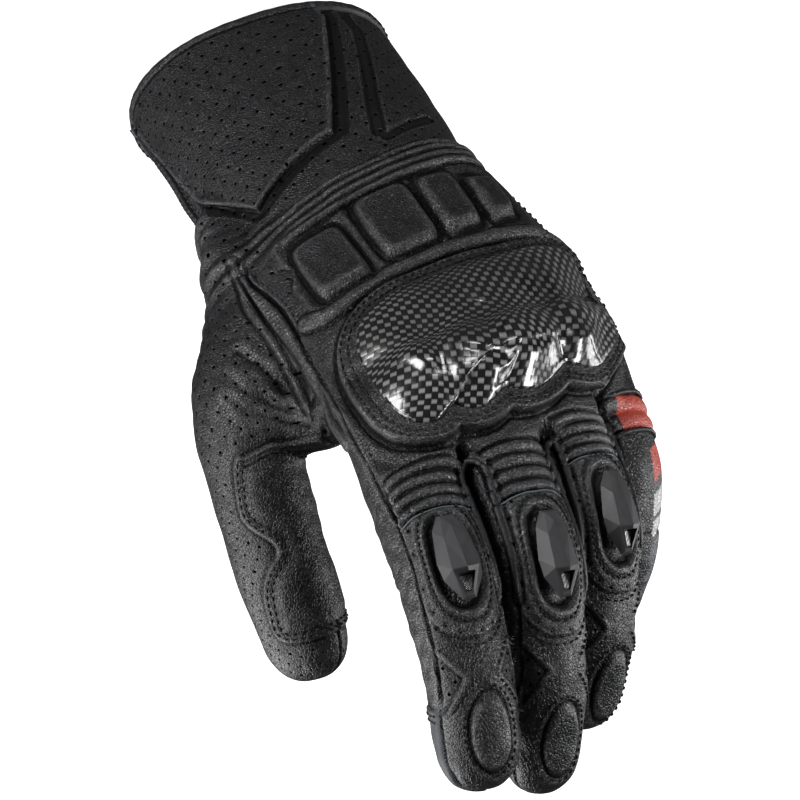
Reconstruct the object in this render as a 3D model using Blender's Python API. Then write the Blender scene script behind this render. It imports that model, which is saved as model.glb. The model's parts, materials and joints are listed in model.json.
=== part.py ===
"""A leather riding glove for the left hand, standing on its cuff with the fingers up.

It has a gauntlet cuff, a hand, a carbon knuckle guard, and jointed fingers and thumb.
Shapes are worked out in the hand frame, in millimetres: x to the little finger, y to the
cuff, z out of the back of the hand. In the object frame the fingers point to +Z, the back
of the hand faces -Y and the little finger is on the -X side. Angles about the hand or a
digit are 0 on the little finger's side and 90 on the back.
"""

import bmesh
import bpy
import numpy as np

TAU = 2 * np.pi
GAP = 0.3  # between layers laid on each other

# Principled BSDF settings: base colour, metallic, roughness
FINISHES = {
    "leather": ((0.022, 0.022, 0.024), 0.0, 0.55),
    "perforated": ((0.020, 0.020, 0.022), 0.0, 0.6),
    "binding": ((0.016, 0.016, 0.017), 0.0, 0.5),
    "carbon": ((0.03, 0.03, 0.032), 0.0, 0.12),
    "slider": ((0.055, 0.055, 0.06), 0.0, 0.5),
    "mesh": ((0.45, 0.45, 0.46), 0.9, 0.35),
    "red": ((0.62, 0.09, 0.06), 0.0, 0.55),
    "foam": ((0.03, 0.03, 0.03), 0.0, 0.9),
    "loop": ((0.02, 0.02, 0.021), 0.0, 0.95),
    "touch": ((0.035, 0.038, 0.048), 0.0, 0.6),
    "suede": ((0.024, 0.024, 0.025), 0.0, 0.75),
}


# ---- vectors and curves


def unit(vector):
    vector = np.asarray(vector, float)
    return vector / np.linalg.norm(vector)


def turn(vectors, axis, degrees):
    """One vector or an array of them, turned about a unit axis."""
    angle = np.radians(degrees)
    along_axis = axis * np.asarray(vectors @ axis)[..., None]
    return (
        vectors * np.cos(angle)
        + np.cross(axis, vectors) * np.sin(angle)
        + along_axis * (1 - np.cos(angle))
    )


def smooth(value, start, end):
    """Eases from 0 at start to 1 at end."""
    part = np.clip((value - start) / (end - start), 0, 1)
    return part * part * (3 - 2 * part)


def spline_weights(part):
    """Catmull-Rom weights of the four points round a span, part of the way along it."""
    square, cube = part * part, part**3
    return np.stack(
        [
            -0.5 * part + square - 0.5 * cube,
            1 - 2.5 * square + 1.5 * cube,
            0.5 * part + 2 * square - 1.5 * cube,
            -0.5 * square + 0.5 * cube,
        ],
        -1,
    )


def closed_curve(points, count):
    """A Catmull-Rom curve through a closed list of points, sampled count times."""
    points = np.asarray(points, float)
    place = np.arange(count) / count * len(points)
    start = np.floor(place).astype(int)
    weights = spline_weights(place - start)
    return sum(
        weights[:, k : k + 1] * points[(start + k - 1) % len(points)] for k in range(4)
    )


def section(half_width, half_back, half_palm, angle, power):
    """A rounded section (superellipse) with its own height on the back and the palm side."""
    cosine, sine = np.cos(angle), np.sin(angle)
    x = half_width * np.sign(cosine) * abs(cosine) ** (2 / power)
    height = np.where(sine > 0, half_back, half_palm)
    return x, height * np.sign(sine) * abs(sine) ** (2 / power)


def grid(rows, columns):
    return np.meshgrid(rows, columns, indexing="ij")


def ring_angles(count):
    return np.arange(count) / count * TAU


# ---- the digits

# root: knuckle, at the base joint    spread, roll: degrees, sideways and about its length
# bends: degrees at the three joints  lengths: of the three bones
# half_widths: at the root, the middle joint and the tip
# palm_depth: factor on the palm side's half height    ribs: the rib panel's span from the root
FINGERS = {
    "index": dict(
        root=(-34.9, -167.6, -2.4), spread=-5.3, roll=-2.4, bends=(19.4, 15.7, 19.3),
        lengths=(46.0, 28.0, 33.5), half_widths=(13.0, 12.6, 11.8), palm_depth=1.14,
        ribs=(18.5, 32.5),
    ),
    "middle": dict(
        root=(-9.3, -169.4, 2.2), spread=-0.6, roll=-10.7, bends=(25.5, 24.8, 18.7),
        lengths=(51.0, 32.0, 35.5), half_widths=(12.6, 12.2, 11.5), palm_depth=1.05,
        ribs=(19.5, 34.5),
    ),
    "ring": dict(
        root=(15.2, -163.1, -1.4), spread=2.4, roll=-15.5, bends=(26.4, 27.3, 20.0),
        lengths=(47.0, 30.0, 33.0), half_widths=(12.0, 11.8, 11.0), palm_depth=1.0,
        ribs=(18.5, 31.5),
    ),
    "little": dict(
        root=(37.2, -153.7, -8.6), spread=5.5, roll=-16.8, bends=(31.6, 29.9, 19.2),
        lengths=(38.0, 23.0, 28.0), half_widths=(11.0, 10.8, 10.0), palm_depth=1.0,
        ribs=(17.5, 29.0),
    ),
}
ROOTS = np.array([finger["root"] for finger in FINGERS.values()])
FINGER_LEAD = 30.0  # how far the centre line runs back past the root
FINGER_BEND = 8.0  # half the length a bend is spread over
PROFILE_HALF_WIDTH = 12.5  # the middle joint half width that the height profiles are for

THUMB_BASE = np.array([-31.0, -98.0, -13.0])
THUMB_KNUCKLE = np.array([-59.0, -125.0, -27.0])
THUMB_TIPWARDS = (-0.01, -0.70, -0.714)  # beyond the knuckle
THUMB_BACKWARDS = (-0.79, -0.40, 0.42)
THUMB_LENGTHS = (41.5, 41.0, 38.0)
THUMB_LEAD = 14.0
THUMB_KNUCKLE_BEND = 16.0
THUMB_TIP_BEND = 12.0
THUMB_TIP_BOW = 0.14  # how far the last bone leans to the palm side, as a slope

LINE_STEP = 0.5  # between samples of a centre line
DIGIT_POWER = 2.25
TIP_LENGTH = 14.0  # of the rounded end
TIP_POWER = 2.3
FINGER_OFF = -0.9  # slimmer than the digit's surface, so neighbours clear each other
THUMB_OFF = -0.6
DIGIT_WALL = 1.9


def joint_places(lengths):
    """Distances from the root to the three joints and the tip."""
    return np.concatenate([[0], np.cumsum(lengths)])


def line_samples(lead, joints):
    return np.arange(-lead, joints[-1] + 0.001, LINE_STEP)


class Digit:
    """A digit's bent centre line, the directions along it and its half sizes.

    samples are distances along the line. anchor is the point at distance anchor_at.
    profile has rows of distance, half width, half height on the back and on the palm side.
    """

    def __init__(
        self, joints, samples, tipwards, backwards, across, anchor, anchor_at, profile, shell_off
    ):
        steps = (tipwards[1:] + tipwards[:-1]) / 2 * LINE_STEP
        centres = np.vstack([[0, 0, 0], np.cumsum(steps, axis=0)])
        centres += np.asarray(anchor) - centres[np.argmin(abs(samples - anchor_at))]
        self.joints = joints
        self.length = joints[-1]
        self.samples = samples
        self.centres = centres
        self.tipwards = tipwards
        self.backwards = backwards
        self.across = across
        self.profile = profile
        self.shell_off = shell_off

    def sample(self, table, along):
        return np.stack([np.interp(along, self.samples, table[:, i]) for i in range(3)], -1)

    def frame(self, along):
        """Centre, direction to the tip and direction out of the back."""
        tipwards = self.sample(self.tipwards, along)
        beyond = np.asarray(np.maximum(along - self.length, 0))[..., None]
        centre = self.sample(self.centres, along) + tipwards * beyond
        return centre, tipwards, self.sample(self.backwards, along)

    def half_sizes(self, along):
        stations, *sizes = self.profile
        return [np.interp(along, stations, row) for row in sizes]

    def surface(self, along, angle, off):
        """The point off millimetres outside the surface, rounded in towards the tip."""
        centre, _, backwards = self.frame(along)
        end = self.length + off
        part = np.clip((along - (end - TIP_LENGTH)) / TIP_LENGTH, 0, 1)
        taper = np.maximum(1 - part**TIP_POWER, 1e-6) ** (1 / TIP_POWER)
        sizes = [(size + off) * taper for size in self.half_sizes(along)]
        x, z = section(*sizes, angle, DIGIT_POWER)
        return centre + x[..., None] * self.across + z[..., None] * backwards


def finger_digit(finger):
    joints = joint_places(finger["lengths"])
    _, first, second, length = joints
    samples = line_samples(FINGER_LEAD, joints)
    spread = np.radians(finger["spread"])
    tip_start = np.array([np.sin(spread), -np.cos(spread), 0.0])
    back_start = turn(np.array([0, 0, 1.0]), tip_start, finger["roll"])
    bend = sum(
        np.radians(degrees) * smooth(samples, joint - FINGER_BEND, joint + FINGER_BEND)
        for degrees, joint in zip(finger["bends"], joints)
    )
    cosine, sine = np.cos(bend)[:, None], np.sin(bend)[:, None]

    root, middle, tip = finger["half_widths"]
    scale = middle / PROFILE_HALF_WIDTH
    back = np.array([12.6, 11.9, 12.1, 11.0, 10.6, 9.8])
    palm = np.array([12.4, 12.4, 11.6, 11.4, 11.2, 9.8])
    profile = [
        [0, first * 0.55, first, second, second + 8, length - 8],
        [root, root * 0.985, middle * 1.02, middle * 0.965, tip, tip * 0.95],
        scale * back,
        scale * palm * finger["palm_depth"],
    ]
    return Digit(
        joints=joints,
        samples=samples,
        tipwards=cosine * tip_start - sine * back_start,
        backwards=cosine * back_start + sine * tip_start,
        across=unit(np.cross(back_start, tip_start)),
        anchor=finger["root"],
        anchor_at=0.0,
        profile=profile,
        shell_off=FINGER_OFF,
    )


def thumb_digit():
    """The first bone leaves the palm at its own angle and eases into the rest at the knuckle."""
    joints = joint_places(THUMB_LENGTHS)
    _, first, second, length = joints
    samples = line_samples(THUMB_LEAD, joints)
    first_bone = unit(THUMB_KNUCKLE - THUMB_BASE)
    straight = unit(THUMB_TIPWARDS)
    back = unit(THUMB_BACKWARDS)
    back = unit(back - np.dot(back, straight) * straight)
    knuckle = smooth(samples, first - THUMB_KNUCKLE_BEND, first + THUMB_KNUCKLE_BEND)[:, None]
    last = smooth(samples, second - THUMB_TIP_BEND, second + THUMB_TIP_BEND)[:, None]
    tipwards = first_bone * (1 - knuckle) + straight * knuckle - back * THUMB_TIP_BOW * last
    tipwards /= np.linalg.norm(tipwards, axis=1)[:, None]
    backwards = back - (tipwards @ back)[:, None] * tipwards
    backwards /= np.linalg.norm(backwards, axis=1)[:, None]
    profile = [
        [0, 20, first - 4, first + 12, second - 4, second + 8, length - 6],
        [19.0, 18.5, 16.0, 14.2, 13.8, 13.8, 12.8],
        [16.0, 16.0, 14.5, 12.6, 12.4, 11.8, 10.2],
        [17.0, 17.0, 14.5, 12.8, 12.6, 12.8, 10.8],
    ]
    return Digit(
        joints=joints,
        samples=samples,
        tipwards=tipwards,
        backwards=backwards,
        across=unit(np.cross(back, straight)),
        anchor=THUMB_KNUCKLE,
        anchor_at=first,
        profile=profile,
        shell_off=THUMB_OFF,
    )


# ---- the cuff and the hand, as one loft along y

# y, half width, half height on the back, on the palm side, centre x, centre z, roll in degrees
HAND_STATIONS = np.array([
    (0, 43.6, 27.0, 27.0, 1.4, 3.6, -15),
    (-20, 43.2, 26.5, 26.5, 1.2, 2.7, -15),
    (-40, 42.4, 26.0, 26.0, 0.9, 1.8, -15),
    (-60, 41.2, 25.5, 25.5, 0.5, 0.8, -15),
    (-72, 40.2, 25.0, 25.0, 0.2, 0.3, -15),
    (-80, 40.0, 24.5, 24.5, 0.0, 0.0, -15),
    (-92, 40.8, 23.5, 25.0, 0.0, 0.0, -13),
    (-110, 43.2, 22.0, 26.0, 0.4, 0.0, -9),
    (-130, 45.6, 20.5, 24.5, 0.6, 0.5, -4),
    (-150, 46.6, 18.6, 21.0, 0.6, 0.0, 0),
    (-163, 46.4, 16.5, 18.5, 0.8, -1.0, 3),
    (-175, 45.0, 13.5, 15.0, 1.2, -3.0, 3),
    (-184, 41.5, 10.0, 11.0, 1.6, -5.0, 3),
])
HAND_POWER = 2.3


def hand_sizes(y):
    """Half width, the two half heights, centre x, centre z and roll in degrees at y."""
    stations, *columns = HAND_STATIONS.T
    return [np.interp(-y, -stations, column) for column in columns]


def hand_point(y, angle, off=0.0):
    half_width, half_back, half_palm, centre_x, centre_z, roll = hand_sizes(y)
    x, z = section(half_width + off, half_back + off, half_palm + off, angle, HAND_POWER)
    roll = np.radians(roll)
    across = centre_x + x * np.cos(roll) + z * np.sin(roll)
    up = centre_z - x * np.sin(roll) + z * np.cos(roll)
    return np.stack([across, y + 0 * across, up], -1)


def hand_top(x_values, y_values):
    """Heights of the loft's back at pairs of x and y."""
    angles = np.linspace(0.0, np.pi, 181)
    heights = []
    for x, y in zip(x_values, y_values):
        arch = hand_point(y, angles)[::-1]
        heights.append(np.interp(x, arch[:, 0], arch[:, 2]))
    return np.array(heights)


# ---- the sheet over the back of the hand and the finger roots

SHEET_COLUMNS = np.array([-47.0, -35.0, -22.0, -9.3, 3.0, 15.2, 26.0, 37.2, 47.5])
SHEET_ROOT_ROWS = np.array([-9.0, -1.0, 7.0, 15.0, 23.0, 31.0])  # along each finger
SHEET_HAND_ROWS = 6
SHEET_START_Y = -92.0
SHEET_MEASURED_COLUMN = 4  # distances along the sheet are measured on this column
SHEET_EDGE_REACH = (12.0, 10.3)  # from the root's centre to the index and the little side
SHEET_SIDE_DROP = 0.93  # how far down an outer finger's rounding the sheet's edge goes
SHEET_WIDTH_LIMIT = 0.985  # of the loft's half width
NORMAL_STEP = 0.6


def root_line(digit, reach=0.0):
    """A line over a finger's root. reach is 0 on top, -1 at the index side, 1 at the little."""
    centre, _, backwards = digit.frame(SHEET_ROOT_ROWS)
    half_width, half_back, _ = digit.half_sizes(SHEET_ROOT_ROWS)
    height = half_back * np.sqrt(1 - (SHEET_SIDE_DROP * reach) ** 2)
    return centre + digit.across * (half_width * reach)[:, None] + backwards * height[:, None]


class BackSheet:
    """A smooth sheet. Its coordinates, across and along from the wrist, are near millimetres."""

    def __init__(self, fingers):
        self.net = np.array([self.column(fingers, across) for across in SHEET_COLUMNS])
        spans = np.diff(self.net[SHEET_MEASURED_COLUMN], axis=0)
        self.rows = np.concatenate([[0], np.cumsum(np.linalg.norm(spans, axis=1))])

    @staticmethod
    def root_part(fingers, across):
        roots_x = ROOTS[:, 0]
        index_reach, little_reach = SHEET_EDGE_REACH
        if across <= roots_x[0]:
            return root_line(fingers[0], -min((roots_x[0] - across) / index_reach, 1))
        if across >= roots_x[-1]:
            return root_line(fingers[-1], min((across - roots_x[-1]) / little_reach, 1))
        j = int(np.searchsorted(roots_x, across)) - 1
        part = (across - roots_x[j]) / (roots_x[j + 1] - roots_x[j])
        return root_line(fingers[j]) * (1 - part) + root_line(fingers[j + 1]) * part

    def column(self, fingers, across):
        """Points on the loft's back, then points over the finger roots."""
        root_points = self.root_part(fingers, across)
        part = np.arange(SHEET_HAND_ROWS) / SHEET_HAND_ROWS
        x = across + (root_points[0, 0] - across) * part
        y = SHEET_START_Y + (root_points[0, 1] - SHEET_START_Y) * part
        half_width, _, _, centre_x, _, _ = hand_sizes(y)
        limit = half_width * SHEET_WIDTH_LIMIT
        x = np.clip(x, centre_x - limit, centre_x + limit)
        return np.vstack([np.stack([x, y, hand_top(x, y)], 1), root_points])

    def on_sheet(self, across, along):
        columns, rows = self.net.shape[:2]
        column = np.interp(across, SHEET_COLUMNS, np.arange(columns))
        row = np.interp(along, self.rows, np.arange(rows))
        i = np.clip(np.floor(column).astype(int), 0, columns - 2)
        j = np.clip(np.floor(row).astype(int), 0, rows - 2)
        column_weights, row_weights = spline_weights(column - i), spline_weights(row - j)
        total = 0
        for k in range(4):
            near_column = np.clip(i + k - 1, 0, columns - 1)
            for m in range(4):
                near_row = np.clip(j + m - 1, 0, rows - 1)
                weight = column_weights[..., k] * row_weights[..., m]
                total = total + weight[..., None] * self.net[near_column, near_row]
        return total

    def point(self, across, along, off):
        """The point off millimetres above the sheet."""
        step = NORMAL_STEP
        slope_across = self.on_sheet(across + step, along) - self.on_sheet(across - step, along)
        slope_along = self.on_sheet(across, along + step) - self.on_sheet(across, along - step)
        normal = np.cross(slope_along, slope_across)
        normal /= np.maximum(np.linalg.norm(normal, axis=-1, keepdims=True), 1e-9)
        normal = np.where(normal[..., 2:3] < 0, -normal, normal)
        return self.on_sheet(across, along) + normal * np.asarray(off)[..., None]


# ---- objects

RIM_TILT = np.radians(8.5)
RIM_CENTRE = np.array([HAND_STATIONS[0, 4], -1.8, HAND_STATIONS[0, 5]])
RIM_PLACE = np.array([8.122, -30.418, 0.002])  # the rim's centre in the object frame
TO_OBJECT = np.array([
    [-np.cos(RIM_TILT), np.sin(RIM_TILT), 0.0],
    [0.0, 0.0, -1.0],
    [-np.sin(RIM_TILT), -np.cos(RIM_TILT), 0.0],
])


def object_points(points):
    """Hand frame millimetres to object frame metres."""
    return ((np.asarray(points, float) - RIM_CENTRE) @ TO_OBJECT.T + RIM_PLACE) / 1000.0


def material(name, kind):
    mat = bpy.data.materials.new(name)
    mat.use_nodes = True
    shader = mat.node_tree.nodes["Principled BSDF"]
    colour, metallic, roughness = FINISHES[kind]
    shader.inputs["Base Color"].default_value = (*colour, 1.0)
    shader.inputs["Metallic"].default_value = metallic
    shader.inputs["Roughness"].default_value = roughness
    return mat


def add_object(name, solid, kind=None):
    """Links a bmesh as an object, faces outwards. Without a kind it is flat and bare."""
    bmesh.ops.recalc_face_normals(solid, faces=solid.faces)
    if solid.calc_volume(signed=True) < 0:
        bmesh.ops.reverse_faces(solid, faces=solid.faces)
    bmesh.ops.triangulate(solid, faces=solid.faces)
    mesh = bpy.data.meshes.new(name)
    solid.to_mesh(mesh)
    solid.free()
    obj = bpy.data.objects.new(name, mesh)
    if kind:
        for polygon in mesh.polygons:
            polygon.use_smooth = True
        mesh.materials.append(material(name + "_mat", kind))
    bpy.context.scene.collection.objects.link(obj)
    return obj


def make(name, points, faces, kind):
    """A closed solid from hand frame points."""
    source = bpy.data.meshes.new(name + "_source")
    source.from_pydata([tuple(point) for point in object_points(points)], [], faces)
    solid = bmesh.new()
    solid.from_mesh(source)
    bpy.data.meshes.remove(source)
    return add_object(name, solid, kind)


def make_hull(name, points, kind=None):
    """The convex hull of hand frame points."""
    solid = bmesh.new()
    for point in object_points(points):
        solid.verts.new(point)
    bmesh.ops.convex_hull(solid, input=solid.verts)
    inside = [vert for vert in solid.verts if not vert.link_faces]
    bmesh.ops.delete(solid, geom=inside, context="VERTS")
    return add_object(name, solid, kind)


def hide_cutter(cutter):
    cutter.hide_render = True
    cutter.display_type = "WIRE"


def subtract(target, cutter, modifier_name):
    modifier = target.modifiers.new(modifier_name, "BOOLEAN")
    modifier.operation = "DIFFERENCE"
    modifier.solver = "EXACT"
    modifier.object = cutter


# Solids with an outer skin and a matching inner one. The inner points follow the outer
# ones in the point list, so each inner index is its outer index plus base.


def skin_faces(rows, columns, wrap):
    base = rows * columns
    faces = []
    for i in range(rows - 1):
        for a, b in row_edges(i, columns, wrap):
            c, d = b + columns, a + columns
            faces.append((a, b, c, d))
            faces.append((base + a, base + d, base + c, base + b))
    return faces


def row_edges(row, columns, wrap):
    start = row * columns
    last = columns if wrap else columns - 1
    return [(start + j, start + (j + 1) % columns) for j in range(last)]


def wall_faces(edges, base, flip=False):
    """Quads joining the outer skin's border edges to the inner skin's."""
    if flip:
        return [(a, b, base + b, base + a) for a, b in edges]
    return [(a, base + a, base + b, b) for a, b in edges]


def slab(name, outer, inner, kind, wrap=False):
    """Two grids (rows x columns x 3) closed round their borders. wrap joins rows into rings."""
    rows, columns = outer.shape[:2]
    base = rows * columns
    faces = skin_faces(rows, columns, wrap)
    faces += wall_faces(row_edges(0, columns, wrap), base)
    faces += wall_faces(row_edges(rows - 1, columns, wrap), base, flip=True)
    if not wrap:
        first_side = [(i * columns, (i + 1) * columns) for i in range(rows - 1)]
        last_side = [(a + columns - 1, b + columns - 1) for a, b in first_side]
        faces += wall_faces(first_side, base, flip=True) + wall_faces(last_side, base)
    points = np.concatenate([outer.reshape(-1, 3), inner.reshape(-1, 3)])
    return make(name, points, faces, kind)


def cup(name, outer, inner, outer_tip, inner_tip, kind):
    """Rings closed at the far end by one tip point on each skin, open at the near end."""
    rows, columns = outer.shape[:2]
    base = rows * columns
    faces = skin_faces(rows, columns, True) + wall_faces(row_edges(0, columns, True), base)
    for a, b in row_edges(rows - 1, columns, True):
        faces.append((a, b, 2 * base))
        faces.append((base + b, base + a, 2 * base + 1))
    points = np.concatenate(
        [outer.reshape(-1, 3), inner.reshape(-1, 3), [outer_tip], [inner_tip]]
    )
    return make(name, points, faces, kind)


def lid(name, outer, inner, kind):
    """A radial patch: rings whose first ring is one centre point repeated."""
    rows, columns = outer.shape[0] - 1, outer.shape[1]
    base = rows * columns
    faces = skin_faces(rows, columns, True)
    faces += wall_faces(row_edges(rows - 1, columns, True), base, flip=True)
    for a, b in row_edges(0, columns, True):
        faces.append((2 * base, a, b))
        faces.append((2 * base + 1, base + b, base + a))
    points = np.concatenate(
        [outer[1:].reshape(-1, 3), inner[1:].reshape(-1, 3), [outer[0, 0]], [inner[0, 0]]]
    )
    return make(name, points, faces, kind)


# ---- the cuff: shell, edge binding, rib band, closure

CUFF_ANGLES = ring_angles(48)
CUFF_END_Y = -77.0
CUFF_WALL = 2.2
RIM_SAMPLE_Y = -2.0
BINDING_HEIGHT = 3.4
# round the binding's section: outwards from the cuff's surface, up from the rim
BINDING_SECTION = [
    (0.9, 0.6), (1.1, 1.6), (0.9, 2.8), (0.2, BINDING_HEIGHT), (-2.3, BINDING_HEIGHT),
    (-3.0, 2.8), (-3.1, 1.6), (-2.7, 0.5), (-1.9, 0.0), (0.3, 0.0),
]
WRIST_Y = -86.0
CLOSURE_Y = (-64.0, -34.0)
LOOP_TOP = 1.0  # heights above the cuff's surface
HOOK_TOP = 2.0
FLAP_TOP = 4.1


def rim_line(off):
    """The tilted rim's y round the cuff."""
    x = hand_point(RIM_SAMPLE_Y, CUFF_ANGLES, off)[:, 0]
    return RIM_CENTRE[1] - np.tan(RIM_TILT) * (x - RIM_CENTRE[0])


def cuff_shell():
    part = np.linspace(0, 1, 8)[:, None]

    def skin(off):
        y = (rim_line(off) - BINDING_HEIGHT - GAP) * (1 - part) + CUFF_END_Y * part
        return hand_point(y, CUFF_ANGLES, off)

    slab("cuff_shell", skin(0.0), skin(-CUFF_WALL), "perforated", wrap=True)


def cuff_edge_binding():
    """A rolled edge: the section swept round the rim."""
    rings = np.array(
        [hand_point(rim_line(off) - up, CUFF_ANGLES, off) for off, up in BINDING_SECTION]
    )
    count, columns = rings.shape[:2]
    faces = []
    for i in range(count):
        next_ring = (i + 1) % count * columns
        for j in range(columns):
            k = (j + 1) % columns
            faces.append((i * columns + j, i * columns + k, next_ring + k, next_ring + j))
    make("cuff_edge_binding", rings.reshape(-1, 3), faces, "binding")


def wrist_rib_band():
    """Three soft ribs inside the cuff's end and the hand's, drawn in towards the hand."""
    rows = 10
    rise = np.linspace(12.0, -8.5, rows)[:, None]
    rib = 0.45 * abs(np.sin(np.pi * 3 * np.arange(rows) / (rows - 1)))[:, None]
    draw_in = 0.011 * rise**2 * (rise < 0)
    outer = hand_point(WRIST_Y + rise, CUFF_ANGLES, -5.2 + rib - draw_in)
    inner = hand_point(WRIST_Y + rise, CUFF_ANGLES, -6.6 - draw_in)
    slab("wrist_rib_band", outer, inner, "leather", wrap=True)


def closure_layer(name, inset, arc, bottom, top, kind, columns):
    """A patch on the cuff's palm side. inset is from both of the flap's long edges."""
    y_values = np.linspace(CLOSURE_Y[0] + inset, CLOSURE_Y[1] - inset, 5)
    y, angle = grid(y_values, np.radians(np.linspace(*arc, columns)))
    slab(name, hand_point(y, angle, top), hand_point(y, angle, bottom), kind)


def closure():
    closure_layer("closure_loop_patch", 2, (226, 292), GAP, LOOP_TOP, "loop", 16)
    closure_layer("closure_hook_patch", 3, (231, 268), LOOP_TOP + GAP, HOOK_TOP, "loop", 10)
    closure_layer("closure_flap", 0, (228, 320), HOOK_TOP + GAP, FLAP_TOP, "leather", 22)


# ---- the hand: back panel, palm, thumb opening

PANEL_WALL = 2.3
THUMB_SWING = (-6.0, 14.0)  # degrees the thumb's root swings through
THUMB_SWING_MARGIN = 1.0


def hand_back_panel(sheet):
    across, along = grid(np.linspace(-46.6, 47.0, 25), np.linspace(6.0, 73.0, 16))
    outer = sheet.point(across, along, 0.0)
    inner = sheet.point(across, along, -PANEL_WALL)
    return slab("hand_back_panel", outer, inner, "leather")


def palm_panel():
    """The palm side from one side seam round to the other, ending short of the finger joints."""
    outer, inner = [], []
    for part in np.linspace(0, 1, 12):
        degrees = np.linspace(178.0 + 17.0 * part**2, 358.0 - 21.0 * part**2, 30)
        angle = np.radians(degrees)
        x = hand_point(-150.0, angle)[:, 0]
        finger_end = np.interp(x, ROOTS[:, 0], ROOTS[:, 1]) + 8.5
        # the wrist end is cut back on the thumb's side
        wrist_end = -98.0 - 7.0 * (1 - smooth(degrees, 192, 226))
        y = wrist_end * (1 - part) + finger_end * part
        outer.append(hand_point(y, angle))
        inner.append(hand_point(y, angle, -PANEL_WALL))
    return slab("palm_panel", np.array(outer), np.array(inner), "suede")


def thumb_clearance(thumb):
    """The space the thumb's root sweeps, as one convex cutter."""
    along, angle = grid(np.linspace(6.0, 42.0, 8), ring_angles(20))
    points = thumb.surface(along, angle, 0.6).reshape(-1, 3)
    pivot = thumb.frame(0.0)[0]
    first, last = THUMB_SWING
    swings = np.linspace(first - THUMB_SWING_MARGIN, last + THUMB_SWING_MARGIN, 4)
    swept = [pivot + turn(points - pivot, thumb.across, degrees) for degrees in swings]
    cutter = make_hull("thumb_clearance", np.concatenate(swept))
    hide_cutter(cutter)
    return cutter


# ---- the knuckle guard and the pads; places are (across, along) on the back sheet

GUARD_OUTLINE = [
    (-37.6, 66), (-37.0, 58), (-34, 52), (-28, 47.5), (-19, 44.8), (-8, 44.0),
    (4, 45.2), (16, 47.4), (28, 50.6), (38, 54.6), (44, 60), (45.6, 67),
    (44.5, 75), (41.5, 81.5), (36.5, 86.0), (31, 87.6), (26.0, 87.0), (21.5, 86.0),
    (17, 88.2), (11.5, 89.3), (6, 88.4), (1.5, 86.6), (-3, 88.6), (-8.5, 90.0),
    (-14, 89.0), (-18, 87.2), (-22.5, 89.2), (-27.5, 90.0), (-32, 88.6), (-35.5, 84),
    (-37.2, 76),
]
OUTLINE = closed_curve(GUARD_OUTLINE, 64)
GUARD_CENTRE = np.array([4.0, 68.0])
GUARD_RINGS = [0, 0.16, 0.34, 0.52, 0.68, 0.82, 0.93, 1.0]  # parts of the way to the rim
GUARD_WALL = 1.6
BUMPS = [-27.5, -8.5, 11.5, 31.0]  # the knuckle bumps' places across
FOAM_RINGS = [0, 0.25, 0.5, 0.66, 0.78]
FOAM_MIDDLE = 66
FOAM_SQUEEZE = 0.72  # the foam's length against the guard's
# distance out from the guard's outline, height
BEZEL_SECTION = [(0.35, 2.4), (1.6, 2.9), (3.6, 2.5), (4.9, 1.2)]
# centre across, centre along, half width, half length
PADS = [
    (-27.6, 20.5, 8.2, 13.0),
    (-5.2, 17.2, 9.6, 13.2),
    (12.4, 17.6, 6.6, 13.2),
    (26.2, 20.0, 5.2, 12.0),
]


def scaled_outline(scale):
    return (GUARD_CENTRE + (OUTLINE - GUARD_CENTRE) * scale).T


def grown_outline(distance):
    """The outline moved outwards."""
    tangent = np.roll(OUTLINE, -1, 0) - np.roll(OUTLINE, 1, 0)
    normal = np.stack([tangent[:, 1], -tangent[:, 0]], 1)
    normal /= np.linalg.norm(normal, axis=1)[:, None]
    return (OUTLINE + normal * distance).T


def guard_seat(along):
    """Height of the guard's seat above the sheet."""
    return 0.9 + 1.5 * smooth(along, 64, 78)


def guard_lift(across, along, edge):
    """How far the guard's outside stands off its seat. edge is 0 at its rim and 1 inland."""
    dome = 3.4 * (1 - (1 - np.clip(edge * 2.2, 0, 1)) ** 2)
    rise = smooth(along, 54, 68) * (1 - 0.55 * smooth(along, 78, 91))
    bumps = sum(np.exp(-(((across - bump) / 7.0) ** 4) * 0.8) for bump in BUMPS)
    return 1.9 + dome + 3.6 * rise * bumps * np.clip(edge * 3.0, 0, 1)


def knuckle_guard(sheet):
    outer, inner = [], []
    for part in GUARD_RINGS:
        across, along = scaled_outline(part)
        top = guard_seat(along) + guard_lift(across, along, 1 - part)
        outer.append(sheet.point(across, along, top))
        inner.append(sheet.point(across, along, top - GUARD_WALL))
    lid("knuckle_guard", np.array(outer), np.array(inner), "carbon")


def knuckle_guard_bezel(sheet):
    """A raised band round the guard, kept inside the sheet's sides."""
    outer, inner = [], []
    for distance, height in BEZEL_SECTION:
        across, along = grown_outline(distance)
        across = np.clip(across, -46.8, 47.3)
        seat = guard_seat(along)
        outer.append(sheet.point(across, along, seat + height - 0.6))
        inner.append(sheet.point(across, along, seat - 0.5))
    slab("knuckle_guard_bezel", np.array(outer), np.array(inner), "leather", wrap=True)


def knuckle_guard_foam(sheet):
    outer, inner = [], []
    for part in FOAM_RINGS:
        across, along = scaled_outline(part)
        along = FOAM_MIDDLE + (along - FOAM_MIDDLE) * FOAM_SQUEEZE
        top = guard_seat(along) + guard_lift(across, along, 1 - part * 0.9) - 3.6
        outer.append(sheet.point(across, along, top))
        inner.append(sheet.point(across, along, 0.75))
    lid("knuckle_guard_foam", np.array(outer), np.array(inner), "foam")


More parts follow.
